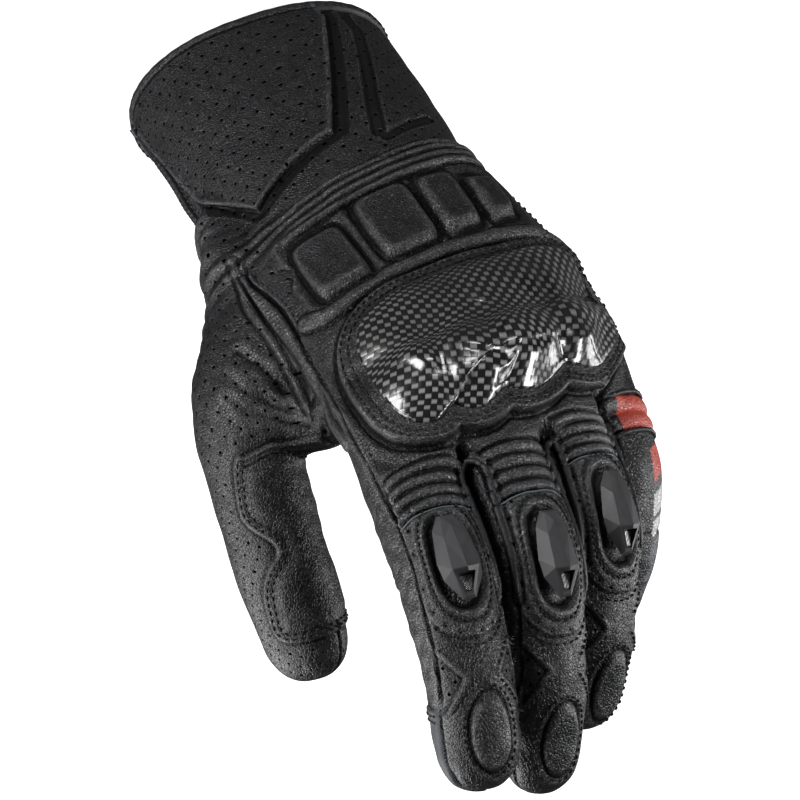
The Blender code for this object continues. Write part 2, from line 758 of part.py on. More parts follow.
def back_pad(name, sheet, across, along, half_width, half_length):
    """A domed rounded rectangle."""
    side = np.linspace(-1, 1, 9)
    x, y = grid(side, side)
    reach = np.maximum(abs(x), abs(y))
    # round the corners by squeezing them in; the floors guard the centre, where reach is 0
    rounded = np.maximum((abs(x) ** 5 + abs(y) ** 5) ** 0.2, 1e-9)
    squeeze = rounded / np.maximum(reach, 1e-9)
    across = across + half_width * x / squeeze
    along = along + half_length * y / squeeze
    height = 0.5 + 2.5 * (1 - (1 - np.clip((1 - reach) * 3.2, 0, 1)) ** 2)
    outer = sheet.point(across, along, GAP + height)
    inner = sheet.point(across, along, GAP)
    slab(name, outer, inner, "leather")


# ---- pieces of a digit

RIB_HEIGHT = 0.9
TIP_STOP = 0.12  # the last ring's distance short of the tip point


def cut(along, back, palm):
    """A leaning end plane: at along + back on the digit's back, along + palm on its palm side."""
    return lambda angle: along + back + (palm - back) * (1 - np.sin(angle)) / 2


def digit_tube(name, digit, start, end, kind, rows=6):
    """A sleeve between two cuts."""
    angles = ring_angles(20)
    part = np.linspace(0, 1, rows)[:, None]
    along = start(angles) + (end(angles) - start(angles)) * part
    outer = digit.surface(along, angles, digit.shell_off)
    inner = digit.surface(along, angles, digit.shell_off - DIGIT_WALL)
    slab(name, outer, inner, kind, wrap=True)


def digit_cup(name, digit, start, kind):
    """The closed end beyond a cut."""
    angles = ring_angles(20)
    part = np.sin(np.linspace(0, 1, 9) * np.pi / 2)[:, None]

    def skin(off):
        end = digit.length + off
        along = start(angles) + (end - TIP_STOP - start(angles)) * part
        return digit.surface(along, angles, off), digit.frame(end)[0]

    outer, outer_tip = skin(digit.shell_off)
    inner, inner_tip = skin(digit.shell_off - DIGIT_WALL)
    cup(name, outer, inner, outer_tip, inner_tip, kind)


def pillow(part):
    """0 at both ends of 0 to 1 and full between."""
    return np.clip(1 - abs(2 * part - 1) ** 2.6, 0, 1) ** 0.6


def digit_panel(name, digit, span, arc, top, kind, size, dome=0.0, ribs=0):
    """A panel on a digit's shell. span is along it, arc in degrees, size its rows and columns."""
    rows, columns = np.linspace(0, 1, size[0]), np.linspace(0, 1, size[1])
    along_part, arc_part = grid(rows, columns)
    along = span[0] + (span[1] - span[0]) * along_part
    angle = np.radians(arc[0] + (arc[1] - arc[0]) * arc_part)
    lift = dome * pillow(along_part) * pillow(arc_part)
    if ribs:
        lift = lift + RIB_HEIGHT * abs(np.sin(np.pi * ribs * along_part)) ** 0.8
    outer = digit.surface(along, angle, top + lift)
    inner = digit.surface(along, angle, digit.shell_off + GAP)
    slab(name, outer, inner, kind)


# ---- knuckle sliders; points are (towards the tip, across, height above the slider's base)

SLIDER_HALF_WIDTH = 12.6  # the middle joint half width that the slider's points are for
SLIDER_FLANKS = [
    (-12, 2.4, 0), (-8, 4.8, 0), (1, 6.2, 0), (6, 5.6, 0), (12, 1.9, 0),
    (-11.4, 1.9, 1.2), (-5, 3.3, 3.1), (4.2, 3.9, 4.0),
]
SLIDER_RIDGE = [(-8.6, 0, 2.6), (0, 0, 4.6), (4.6, 0, 5.4)]
SLIDER_NOSE = [(11.4, 1.3, 1.0)]
WEDGE_FACES = [
    (0, 1, 3, 2), (4, 6, 7, 5), (0, 4, 5, 1), (2, 3, 7, 6), (0, 2, 6, 4), (1, 5, 7, 3),
]


def both_sides(points):
    return [(tip, side * across, up) for tip, across, up in points for side in (1, -1)]


def wedge_points(near, far, heights):
    """Corners of a block. near and far are its ends, as (towards the tip, half width)."""
    return [
        (tip, side * half_width, up)
        for tip, half_width in (near, far)
        for side in (1, -1)
        for up in heights
    ]


def slider(name, finger, digit):
    """A faceted cap over the middle knuckle, vented towards the tip, with mesh in the vent."""
    joint = digit.joints[1]
    centre, tipwards, backwards = digit.frame(joint + 0.5)
    base = digit.half_sizes(joint)[1] + 0.9
    scale = finger["half_widths"][1] / SLIDER_HALF_WIDTH

    def place(points):
        tip, across, up = np.array(points, float).T
        return (
            centre
            + np.outer(tip, tipwards)
            + np.outer(across * scale, digit.across)
            + np.outer(base + up, backwards)
        )

    points = both_sides(SLIDER_FLANKS) + SLIDER_RIDGE + both_sides(SLIDER_NOSE)
    cap = make_hull(name + "_slider_cap", place(points), "slider")
    vent = wedge_points(near=(5.6, 2.5), far=(10.4, 0.9), heights=(0.9, 8.0))
    cutter = make(name + "_vent_cutter", place(vent), WEDGE_FACES, "slider")
    hide_cutter(cutter)
    subtract(cap, cutter, "vent")
    mesh = wedge_points(near=(5.9, 2.2), far=(10.0, 0.7), heights=(1.2, 1.5))
    make(name + "_slider_mesh", place(mesh), WEDGE_FACES, "mesh")


# ---- whole fingers and thumb

# half the opening between shells at the first and second joint past the root
BACK_GAPS = (3.6, 2.6)
PALM_GAPS = (9.0, 5.6)


def build_finger(name, finger, digit):
    _, first, second, _ = digit.joints
    (back_1, back_2), (palm_1, palm_2) = BACK_GAPS, PALM_GAPS
    digit_tube(
        name + "_proximal_shell", digit,
        cut(0.0, 5.0, 9.5), cut(first, -back_1, -palm_1), "leather",
    )
    digit_tube(
        name + "_middle_shell", digit,
        cut(first, back_1, palm_1), cut(second, -back_2, -palm_2), "leather", rows=4,
    )
    digit_cup(name + "_distal_shell", digit, cut(second, back_2, palm_2), "leather")
    digit_panel(
        name + "_rib_panel", digit, finger["ribs"], (28, 152), 0.3,
        "red" if name == "little" else "leather", (13, 8), ribs=3,
    )
    if name != "little":
        slider(name, finger, digit)
        digit_panel(
            name + "_tip_pad", digit, (second + 7.0, second + 25.0), (62, 118), -0.1,
            "leather", (8, 6), dome=1.0,
        )


def index_touch_patch(digit):
    second = digit.joints[2]
    digit_panel(
        "index_touch_patch", digit, (second + 9, second + 24), (178, 262), 0.1, "touch", (5, 8)
    )


def build_thumb(digit):
    _, first, second, _ = digit.joints
    digit_tube(
        "thumb_base_shell", digit, cut(11.0, 0.0, 0.0), cut(first, -4.0, -8.0), "perforated"
    )
    digit_tube(
        "thumb_proximal_shell", digit,
        cut(first, 4.0, 8.0), cut(second, -3.6, -7.6), "perforated",
    )
    digit_panel(
        "thumb_overlay", digit, (first + 6.5, second - 5.5), (-62, 42), 0.2,
        "leather", (8, 9), dome=1.0,
    )
    digit_cup("thumb_distal_shell", digit, cut(second, 3.6, 7.6), "perforated")


def build_glove():
    fingers = {name: finger_digit(finger) for name, finger in FINGERS.items()}
    thumb = thumb_digit()
    sheet = BackSheet(list(fingers.values()))

    cuff_shell()
    cuff_edge_binding()
    wrist_rib_band()
    closure()

    back = hand_back_panel(sheet)
    palm = palm_panel()
    clearance = thumb_clearance(thumb)
    for panel in (palm, back):
        subtract(panel, clearance, "thumb_opening")

    knuckle_guard(sheet)
    knuckle_guard_bezel(sheet)
    knuckle_guard_foam(sheet)
    for number, pad in enumerate(PADS, 1):
        back_pad(f"back_pad_{number}", sheet, *pad)

    for name, finger in FINGERS.items():
        build_finger(name, finger, fingers[name])
    index_touch_patch(fingers["index"])
    build_thumb(thumb)


for old in list(bpy.data.objects):
    bpy.data.objects.remove(old, do_unlink=True)
build_glove()
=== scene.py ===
"""A left riding glove: one sewn leather skin over the jointed CAD bodies, with its knuckle
guard, finger sliders, seams, closure flap and a small studio.

Shapes are worked out in the hand frame, in millimetres: x to the little finger, y to the
cuff, z out of the back of the hand. world() stands them on the cuff's rim, fingers up,
with the back of the hand to the front (-Y).
"""

import json
import math

import bpy
import numpy as np
from mathutils import Matrix, Vector
from mathutils.bvhtree import BVHTree

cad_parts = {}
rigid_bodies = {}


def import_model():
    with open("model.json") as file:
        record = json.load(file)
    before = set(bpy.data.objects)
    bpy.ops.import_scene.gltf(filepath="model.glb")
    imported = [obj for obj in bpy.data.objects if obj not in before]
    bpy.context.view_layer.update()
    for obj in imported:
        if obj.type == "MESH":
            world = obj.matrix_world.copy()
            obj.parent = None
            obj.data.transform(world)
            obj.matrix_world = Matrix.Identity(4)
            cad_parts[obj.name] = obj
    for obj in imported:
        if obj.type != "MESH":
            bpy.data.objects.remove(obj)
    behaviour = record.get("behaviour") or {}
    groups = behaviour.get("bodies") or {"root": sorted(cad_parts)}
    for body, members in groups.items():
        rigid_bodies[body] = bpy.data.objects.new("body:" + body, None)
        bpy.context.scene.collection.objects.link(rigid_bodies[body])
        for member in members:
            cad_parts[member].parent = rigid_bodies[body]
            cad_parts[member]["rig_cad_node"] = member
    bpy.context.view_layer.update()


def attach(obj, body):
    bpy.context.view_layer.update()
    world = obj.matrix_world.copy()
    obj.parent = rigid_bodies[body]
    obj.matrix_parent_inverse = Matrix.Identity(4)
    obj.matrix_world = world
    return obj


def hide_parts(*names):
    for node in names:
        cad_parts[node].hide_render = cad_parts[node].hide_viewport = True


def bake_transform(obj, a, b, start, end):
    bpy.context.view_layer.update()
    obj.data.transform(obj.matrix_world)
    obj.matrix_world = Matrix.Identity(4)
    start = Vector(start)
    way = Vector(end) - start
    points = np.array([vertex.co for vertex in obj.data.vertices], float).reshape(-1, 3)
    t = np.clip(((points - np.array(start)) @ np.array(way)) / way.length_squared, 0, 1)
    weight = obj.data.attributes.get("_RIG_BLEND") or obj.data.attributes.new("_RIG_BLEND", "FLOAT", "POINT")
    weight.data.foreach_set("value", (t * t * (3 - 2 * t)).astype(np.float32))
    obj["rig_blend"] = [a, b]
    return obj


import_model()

# ------------------------------------------------------------------ driving sizes

# knuckle: the finger's start. spread: degrees towards the little finger. roll: degrees about
# its own line. bends: degrees at each joint. bones: lengths. half_widths: root, middle, tip.
# palm_depth: fullness of the palm side. web: where the finger comes free of its neighbour.
# ribs: where the sewn ribs begin and end along the finger.
FINGERS = {
    "index": dict(
        knuckle=(-34.9, -167.6, -2.4), spread=-5.3, roll=-2.4, bends=(19.4, 15.7, 19.3),
        bones=(46.0, 28.0, 33.5), half_widths=(13.0, 12.6, 11.8), palm_depth=1.14,
        web=25.0, ribs=(18.0, 33.0)),
    "middle": dict(
        knuckle=(-9.3, -169.4, 2.2), spread=-0.6, roll=-10.7, bends=(25.5, 24.8, 18.7),
        bones=(51.0, 32.0, 35.5), half_widths=(12.6, 12.2, 11.5), palm_depth=1.05,
        web=27.5, ribs=(19.5, 35.5)),
    "ring": dict(
        knuckle=(15.2, -163.1, -1.4), spread=2.4, roll=-15.5, bends=(26.4, 27.3, 20.0),
        bones=(47.0, 30.0, 33.0), half_widths=(12.0, 11.8, 11.0), palm_depth=1.0,
        web=27.5, ribs=(18.5, 32.5)),
    "little": dict(
        knuckle=(37.2, -153.7, -8.6), spread=5.5, roll=-16.8, bends=(31.6, 29.9, 19.2),
        bones=(38.0, 23.0, 28.0), half_widths=(11.0, 10.8, 10.0), palm_depth=1.0,
        web=25.0, ribs=(18.0, 29.0)),
}
# base and middle: the first two joints. tangent: towards the tip. back: out of its back.
THUMB = dict(
    base=(-31.0, -98.0, -13.0), middle=(-59.0, -125.0, -27.0),
    tangent=(-0.01, -0.70, -0.714), back=(-0.79, -0.40, 0.42), bones=(41.5, 41.0, 38.0))
# across, out of the back and on the palm side, at the stations in digit_halves
THUMB_HALVES = [
    (19.0, 18.5, 16.0, 14.2, 13.8, 13.8, 12.8),
    (16.0, 16.0, 14.5, 12.6, 12.4, 11.8, 10.2),
    (17.0, 17.0, 14.5, 12.8, 12.6, 12.8, 10.8),
]
DIGITS = [*FINGERS, "thumb"]
THUMB_INDEX = 4
LINE_STEP = 0.5  # between points of a digit's centre line
TIP_ROUND = 14.0  # length of a digit's rounded end
TIP_POWER = 2.3
DIGIT_POWER = 2.25  # superellipse powers of the cross-sections
HAND_POWER = 2.3
HAND_END = -184.0

# the cuff and hand: y, half width, half height to the back, half height to the palm,
# centre x, centre z, roll in degrees
HAND_SECTIONS = np.array([
    (0, 43.6, 27, 27, 1.4, 3.6, -15),
    (-20, 43.2, 26.5, 26.5, 1.2, 2.7, -15),
    (-40, 42.4, 26, 26, 0.9, 1.8, -15),
    (-60, 41.2, 25.5, 25.5, 0.5, 0.8, -15),
    (-72, 40.2, 25, 25, 0.2, 0.3, -15),
    (-80, 40.0, 24.5, 24.5, 0, 0, -15),
    (-92, 40.8, 23.5, 25, 0.0, 0, -13),
    (-110, 43.2, 22, 26, 0.4, 0, -9),
    (-130, 45.6, 20.5, 24.5, 0.6, 0.5, -4),
    (-150, 46.6, 18.6, 21, 0.6, 0, 0),
    (-163, 46.4, 16.5, 18.5, 0.8, -1.0, 3),
    (-175, 45, 13.5, 15, 1.2, -3.0, 3),
    (HAND_END, 41.5, 10.0, 11.0, 1.6, -5.0, 3),
]).T
# where the hand stops at the finger roots, across x
END_X = np.array([-46.0, -34.9, -9.3, 15.2, 37.2, 47.0])
END_Y = np.array([-178.0, -184.5, -187.0, -181.5, -171.0, -166.0])

# the hand frame to the object's frame
RIM_TILT = np.radians(8.5)
RIM = np.array([1.4, -1.8, 3.6])
SHIFT = np.array([8.122, -30.418, 0.002])
FRAME = np.array([
    [-np.cos(RIM_TILT), np.sin(RIM_TILT), 0.0],
    [0.0, 0.0, -1.0],
    [-np.sin(RIM_TILT), -np.cos(RIM_TILT), 0.0],
])

GRID_CELL = 1.05
# the field is read this far inside and the mesh pushed back out, so that neighbouring
# fingers stay apart
PUSH = 1.2

# ------------------------------------------------------------------ small maths


def unit(v):
    v = np.asarray(v, float)
    return v / np.linalg.norm(v)


def unit_rows(v):
    return v / np.maximum(np.linalg.norm(v, axis=-1, keepdims=True), 1e-9)


def turn(v, axis, degrees):
    angle, axis = np.radians(degrees), unit(axis)
    along = axis * np.dot(axis, v) * (1 - np.cos(angle))
    return v * np.cos(angle) + np.cross(axis, v) * np.sin(angle) + along


def rise(x, start, end):
    """A smooth step from 0 at start to 1 at end."""
    t = np.clip((np.asarray(x, float) - start) / (end - start), 0, 1)
    return t * t * (3 - 2 * t)


def fall(x, start, end):
    return 1 - rise(x, start, end)


def plateau(x, start, full, drop, end):
    return rise(x, start, full) * fall(x, drop, end)


def bell(distance, width):
    return np.exp(-((np.asarray(distance, float) / width) ** 2))


def signed_power(v, power):
    return np.sign(v) * abs(v) ** power


def ribs(v, count, power):
    """Round ribs across 0 < v < 1."""
    wave = abs(np.sin(np.pi * count * np.clip(v, 0, 1))) ** power
    return np.where((v > 0) & (v < 1), wave, 0)


def wrap_angle(angle):
    """From -90 to 270 degrees, in radians."""
    return np.where(angle < -np.pi / 2, angle + 2 * np.pi, angle)


def smooth_union(a, b, radius):
    t = np.clip(0.5 + 0.5 * (b - a) / radius, 0, 1)
    return b * (1 - t) + a * t - radius * t * (1 - t)


def catmull_rom(t):
    """The weights of the four points round a span, t of the way along it."""
    return np.stack([
        -0.5 * t + t * t - 0.5 * t**3,
        1 - 2.5 * t * t + 1.5 * t**3,
        0.5 * t + 2 * t * t - 1.5 * t**3,
        -0.5 * t * t + 0.5 * t**3,
    ], -1)


def closed_curve(points, count):
    points = np.asarray(points, float)
    t = np.arange(count) / count * len(points)
    i = np.floor(t).astype(int)
    weights = catmull_rom(t - i)
    return sum(weights[:, k : k + 1] * points[(i + k - 1) % len(points)] for k in range(4))


def spline(points, step=0.8):
    """A smooth open curve through the points."""
    points = np.asarray(points, float)
    padded = np.vstack([2 * points[0] - points[1], points, 2 * points[-1] - points[-2]])
    out = []
    for i in range(1, len(padded) - 2):
        count = max(int(np.linalg.norm(padded[i + 1] - padded[i]) / step), 2)
        out.append(catmull_rom(np.arange(count) / count) @ padded[i - 1 : i + 3])
    return np.vstack(out + [points[-1:]])


def run_length(path):
    steps = np.linalg.norm(np.diff(path, axis=0), axis=1)
    return np.concatenate([[0], np.cumsum(steps)])


def sample(path, lengths, at):
    return np.stack([np.interp(at, lengths, column) for column in path.T], 1)


def resample(path, step):
    lengths = run_length(path)
    count = max(int(round(lengths[-1] / step)), 1)
    return sample(path, lengths, np.linspace(0, lengths[-1], count + 1))


def segment_distance(points, a, b):
    ab = b - a
    t = np.clip(((points - a) @ ab) / max(ab @ ab, 1e-9), 0, 1)
    return np.linalg.norm(points - a - t[..., None] * ab, axis=-1)


def line_distance(x, y, line, closed=False):
    """Distance in a plane to a line of points; negative inside if closed."""
    line, points = np.asarray(line, float), np.stack([x, y], 1)
    best = np.full(len(x), 1e9)
    inside = np.zeros(len(x), bool)
    for i in range(len(line) if closed else len(line) - 1):
        a, b = line[i], line[(i + 1) % len(line)]
        best = np.minimum(best, segment_distance(points, a, b))
        if closed:
            spans = (a[1] > y) != (b[1] > y)
            with np.errstate(divide="ignore", invalid="ignore"):
                inside ^= spans & (x < (b[0] - a[0]) * (y - a[1]) / (b[1] - a[1]) + a[0])
    return np.where(inside, -best, best) if closed else best


def offset_loop(loop, out, centre):
    """A loop in a plane moved out from its centre's side; negative is inwards."""
    along = np.roll(loop, -1, 0) - np.roll(loop, 1, 0)
    across = np.stack([along[:, 1], -along[:, 0]], 1)
    across /= np.maximum(np.linalg.norm(along, axis=1), 1e-6)[:, None]
    across *= np.sign(((loop - centre) * across).sum(1).mean())
    return loop + across * out


def superellipse(angles, half_along, half_across, power):
    return (signed_power(np.cos(angles), 2 / power) * half_along,
            signed_power(np.sin(angles), 2 / power) * half_across)


def waves(points, scale, seed, count=9):
    """Soft uneven folds from a few rotated sine waves."""
    random = np.random.default_rng(seed)
    out = np.zeros(len(points))
    for _ in range(count):
        k = random.normal(size=3)
        k *= random.uniform(0.6, 1.5) / np.linalg.norm(k) * 2 * np.pi / scale
        out += np.sin(points @ k + random.uniform(0, 6.3))
    return out / np.sqrt(count)


# ------------------------------------------------------------------ digits and hand


class CentreLine:
    """A digit's centre line: tangents to the tip, backs out of its back, side across it."""

    def __init__(self, joints, stations, tangents, backs, side, anchor, anchor_at):
        self.joints, self.length = joints, joints[-1]
        self.stations, self.tangents, self.backs, self.side = stations, tangents, backs, side
        steps = (tangents[1:] + tangents[:-1]) / 2 * LINE_STEP
        points = np.vstack([[0, 0, 0], np.cumsum(steps, axis=0)])
        nearest = int(np.argmin(abs(stations - anchor_at)))
        self.points = points + (np.asarray(anchor, float) - points[nearest])

    def at(self, along):
        point, tangent, back = (
            np.stack([np.interp(along, self.stations, column) for column in table.T], -1)
            for table in (self.points, self.tangents, self.backs))
        beyond = np.maximum(along - self.length, 0)[..., None]
        return point + tangent * beyond, back


def line_stations(bones, lead):
    joints = np.concatenate([[0], np.cumsum(bones)])
    return joints, np.arange(-lead, joints[-1] + 0.001, LINE_STEP)


def finger_line(knuckle, spread, roll, bends, bones, **_):
    """Straight bones with a soft bend at each joint."""
    soft = 8.0
    joints, stations = line_stations(bones, lead=30.0)
    spread = np.radians(spread)
    tangent = unit([np.sin(spread), -np.cos(spread), 0.0])
    back = turn(np.array([0, 0, 1.0]), tangent, roll)
    back = unit(back - np.dot(back, tangent) * tangent)
    bend = sum(np.radians(degrees) * rise(stations, joint - soft, joint + soft)
               for degrees, joint in zip(bends, joints[:3]))[:, None]
    tangents = np.cos(bend) * tangent - np.sin(bend) * back
    backs = np.cos(bend) * back + np.sin(bend) * tangent
    side = unit(np.cross(back, tangent))
    return CentreLine(joints, stations, tangents, backs, side, knuckle, 0.0)


def thumb_line(base, middle, tangent, back, bones):
    """A soft curve out of the palm, then a slight bow out at the last joint."""
    bow = 0.14
    joints, stations = line_stations(bones, lead=14.0)
    first, tangent = unit(np.subtract(middle, base)), unit(tangent)
    share = rise(stations, joints[1] - 16, joints[1] + 16)[:, None]
    back = unit(back)
    back = unit(back - np.dot(back, tangent) * tangent)
    tangents = first * (1 - share) + tangent * share
    tangents = tangents - back * bow * rise(stations, joints[2] - 12, joints[2] + 12)[:, None]
    tangents = unit_rows(tangents)
    backs = unit_rows(back - (tangents @ back)[:, None] * tangents)
    side = unit(np.cross(back, tangent))
    return CentreLine(joints, stations, tangents, backs, side, middle, joints[1])


LINES = {name: finger_line(**finger) for name, finger in FINGERS.items()}
LINES["thumb"] = thumb_line(**THUMB)


def digit_halves(name, along):
    """Half width, and half heights out of the back and on the palm side."""
    line = LINES[name]
    first, last = line.joints[1:3]
    if name == "thumb":
        stations = [0, 20, first - 4, first + 12, last - 4, last + 8, line.length - 6]
        return [np.interp(along, stations, row) for row in THUMB_HALVES]
    root, middle, tip = FINGERS[name]["half_widths"]
    scale = middle / 12.5  # the heights below are for this half width
    stations = [0, first * 0.55, first, last, last + 8, line.length - 8]
    across = [root, root * 0.985, middle * 1.02, middle * 0.965, tip, tip * 0.95]
    back = np.interp(along, stations, [12.6, 11.9, 12.1, 11.0, 10.6, 9.8])
    palm = np.interp(along, stations, [12.4, 12.4, 11.6, 11.4, 11.2, 9.8])
    palm_depth = FINGERS[name]["palm_depth"]
    return np.interp(along, stations, across), scale * back, scale * palm * palm_depth


def digit_point(name, along, angle, out=0.0):
    """A point of the digit's surface; angle 0 is on its side vector, 90 degrees its back."""
    line = LINES[name]
    point, back = line.at(along)
    end = np.clip((along - (line.length + out - TIP_ROUND)) / TIP_ROUND, 0, 1)
    end = np.maximum(1 - end**TIP_POWER, 1e-6) ** (1 / TIP_POWER)
    across, up, down = ((half + out) * end for half in digit_halves(name, along))
    x = across * signed_power(np.cos(angle), 2 / DIGIT_POWER)
    z = np.where(np.sin(angle) > 0, up, down) * signed_power(np.sin(angle), 2 / DIGIT_POWER)
    return point + x[..., None] * line.side + z[..., None] * back


def hand_section(y):
    *sizes, roll = (np.interp(-y, -HAND_SECTIONS[0], row) for row in HAND_SECTIONS[1:])
    return *sizes, np.radians(roll)


def hand_point(y, angle, out=0.0):
    """Angle 0 is on the little finger's side, 90 degrees on the back."""
    half, up, down, centre_x, centre_z, roll = hand_section(y)
    x = (half + out) * signed_power(np.cos(angle), 2 / HAND_POWER)
    z = np.where(np.sin(angle) > 0, up + out, down + out)
    z = z * signed_power(np.sin(angle), 2 / HAND_POWER)
    across = centre_x + x * np.cos(roll) + z * np.sin(roll)
    height = centre_z - x * np.sin(roll) + z * np.cos(roll)
    return np.stack([across, y + 0 * across, height], -1)


def hand_top(x, y):
    """Height of the hand's back at each x, y."""
    angles = np.linspace(0.0, np.pi, 181)
    out = []
    for x_one, y_one in zip(x, y):
        ring = hand_point(np.full(181, y_one), angles)[::-1]
        out.append(np.interp(x_one, ring[:, 0], ring[:, 2]))
    return np.array(out)


class Sheet:
    """A smooth sheet over the back of the hand and the finger roots.

    u is across it and q along it from the wrist's side, both near millimetres.
    """

    COLUMNS = np.array([-47.0, -35.0, -22.0, -9.3, 3.0, 15.2, 26.0, 37.2, 47.5])
    ROOT_ROWS = np.array([-9.0, -1.0, 7.0, 15.0, 23.0, 31.0])  # along the fingers
    WRIST_Y = -92.0

    def __init__(self):
        names = list(FINGERS)
        knuckles = [finger["knuckle"][0] for finger in FINGERS.values()]
        columns = []
        for u in self.COLUMNS:
            if u <= knuckles[0] + 0.2:
                root = self.root_line("index", -1, np.clip((knuckles[0] - u) / 12.0, 0, 1))
            elif u >= knuckles[3] - 0.2:
                root = self.root_line("little", 1, np.clip((u - knuckles[3]) / 10.3, 0, 1))
            else:
                i = int(np.searchsorted(knuckles, u)) - 1
                share = (u - knuckles[i]) / (knuckles[i + 1] - knuckles[i])
                left, right = (self.root_line(name, 1, 0.0) for name in names[i : i + 2])
                root = left * (1 - share) + right * share
            part = np.arange(6) / 6.0
            y = self.WRIST_Y + (root[0, 1] - self.WRIST_Y) * part
            x = u + (root[0, 0] - u) * part
            half, _, _, centre, _, _ = hand_section(y)
            x = np.clip(x, centre - half * 0.985, centre + half * 0.985)
            columns.append(np.vstack([np.stack([x, y, hand_top(x, y)], 1), root]))
        self.grid = np.array(columns)
        self.rows = run_length(self.grid[4])

    def root_line(self, name, sign, out):
        """Along a finger's back; out of 1 takes it to the finger's side."""
        line = LINES[name]
        point, back = line.at(self.ROOT_ROWS)
        half, up, _ = digit_halves(name, self.ROOT_ROWS)
        up = up * np.sqrt(max(1 - (0.93 * out) ** 2, 0))
        return point + sign * line.side * (half[:, None] * out) + back * up[:, None]

    def raw(self, u, q):
        columns, rows = self.grid.shape[:2]
        a = np.interp(u, self.COLUMNS, np.arange(columns))
        b = np.interp(q, self.rows, np.arange(rows))
        i = np.clip(np.floor(a).astype(int), 0, columns - 2)
        j = np.clip(np.floor(b).astype(int), 0, rows - 2)
        across, along = catmull_rom(a - i), catmull_rom(b - j)
        out = 0
        for k in range(4):
            column = np.clip(i + k - 1, 0, columns - 1)
            for l in range(4):
                row = np.clip(j + l - 1, 0, rows - 1)
                weight = (across[..., k] * along[..., l])[..., None]
                out = out + weight * self.grid[column, row]
        return out

    def point(self, u, q, out=0.0):
        reach = 0.6
        across = self.raw(u + reach, q) - self.raw(u - reach, q)
        along = self.raw(u, q + reach) - self.raw(u, q - reach)
        normal = unit_rows(np.cross(along, across))
        normal = np.where(normal[..., 2:3] < 0, -normal, normal)
        return self.raw(u, q) + normal * np.asarray(out, float)[..., None]

    def inverse(self, points):
        """The u and q nearest each point."""
        u = np.clip(points[:, 0], -46.5, 47.0)
        q = np.interp(-points[:, 1], -self.grid[4, :, 1], self.rows)
        for _ in range(6):
            rest = points - self.raw(u, q)
            along = self.raw(u, q + 0.5) - self.raw(u, q - 0.5)
            u = np.clip(u + rest[:, 0] * 0.9, -47, 47.5)
            step = (rest * along).sum(1) / np.maximum((along**2).sum(1), 1e-3)
            q = np.clip(q + step, 0, self.rows[-1])
        return u, q


SHEET = Sheet()


def world(points):
    """Hand frame to the object's own frame, both in millimetres."""
    return (np.asarray(points, float) - RIM) @ FRAME.T + SHIFT


def rim_y(x):
    return RIM[1] - np.tan(RIM_TILT) * (x - RIM[0])


# ------------------------------------------------------------------ the skin's mesh


def hand_field(points):
    """Near-distance to the hand and cuff, negative inside, with the angle round the section."""
    x, y, z = points[..., 0], points[..., 1], points[..., 2]
    y = y + (HAND_END - np.interp(x, END_X, END_Y)) * rise(-y, 118, 168)
    half, up, down, centre_x, centre_z, roll = hand_section(y)
    x, z = x - centre_x, z - centre_z
    side = x * np.cos(roll) - z * np.sin(roll)
    height = x * np.sin(roll) + z * np.cos(roll)
    limit = np.where(height > 0, up, down)
    a, b = abs(side) / half, abs(height) / limit
    over = np.maximum(-172.0 - y, 0) / 13.0
    reach = (a**HAND_POWER + b**HAND_POWER + over**HAND_POWER) ** (1 / HAND_POWER)
    radial = np.sqrt(a**2 + b**2 + 1e-9)
    scale = 1 / np.sqrt((a / radial / half) ** 2 + (b / radial / limit) ** 2 + 1e-9)
    angle = np.arctan2(np.sign(height) * b ** (HAND_POWER / 2),
                       np.sign(side) * a ** (HAND_POWER / 2))
    return (reach - 1) * np.clip(scale, 8, 60), angle


def digit_local(name, points):
    """Length along the digit, near-distance to it and angle about it."""
    line, stride, chunk = LINES[name], 2, 60000
    centres = line.points[::stride]
    nearest = np.zeros(len(points), int)
    for i in range(0, len(points), chunk):
        part = points[i : i + chunk]
        square = (part**2).sum(1)[:, None] - 2 * part @ centres.T + (centres**2).sum(1)[None]
        nearest[i : i + chunk] = square.argmin(1)
    offset = points - centres[nearest]
    tangents = line.tangents[::stride][nearest]
    along = line.stations[::stride][nearest] + (offset * tangents).sum(1)
    x = offset @ line.side
    z = (offset * line.backs[::stride][nearest]).sum(1)
    half, up, down = digit_halves(name, along)
    height = np.where(z > 0, up, down)
    far = np.maximum(along - (line.length - TIP_ROUND), 0) / TIP_ROUND
    near = np.maximum(-along - (4 if name == "thumb" else 8), 0) / 12.0
    a, b = abs(x) / half, abs(z) / height
    reach = sum(part**DIGIT_POWER for part in (a, b, far, near)) ** (1 / DIGIT_POWER)
    angle = np.arctan2(np.sign(z) * b ** (DIGIT_POWER / 2), np.sign(x) * a ** (DIGIT_POWER / 2))
    return along, (reach - 1) * np.minimum(half, height), angle


def digit_box(name, margin):
    points = LINES[name].points[LINES[name].stations > -16]
    return points.min(0) - margin, points.max(0) + margin


def grid_points(axes):
    return np.stack(np.meshgrid(*axes, indexing="ij"), -1)


def slabs(axes):
    """The grid a few layers at a time, to keep memory small."""
    for i in range(0, len(axes[0]), 12):
        yield slice(i, i + 12), grid_points([axes[0][i : i + 12], *axes[1:]])


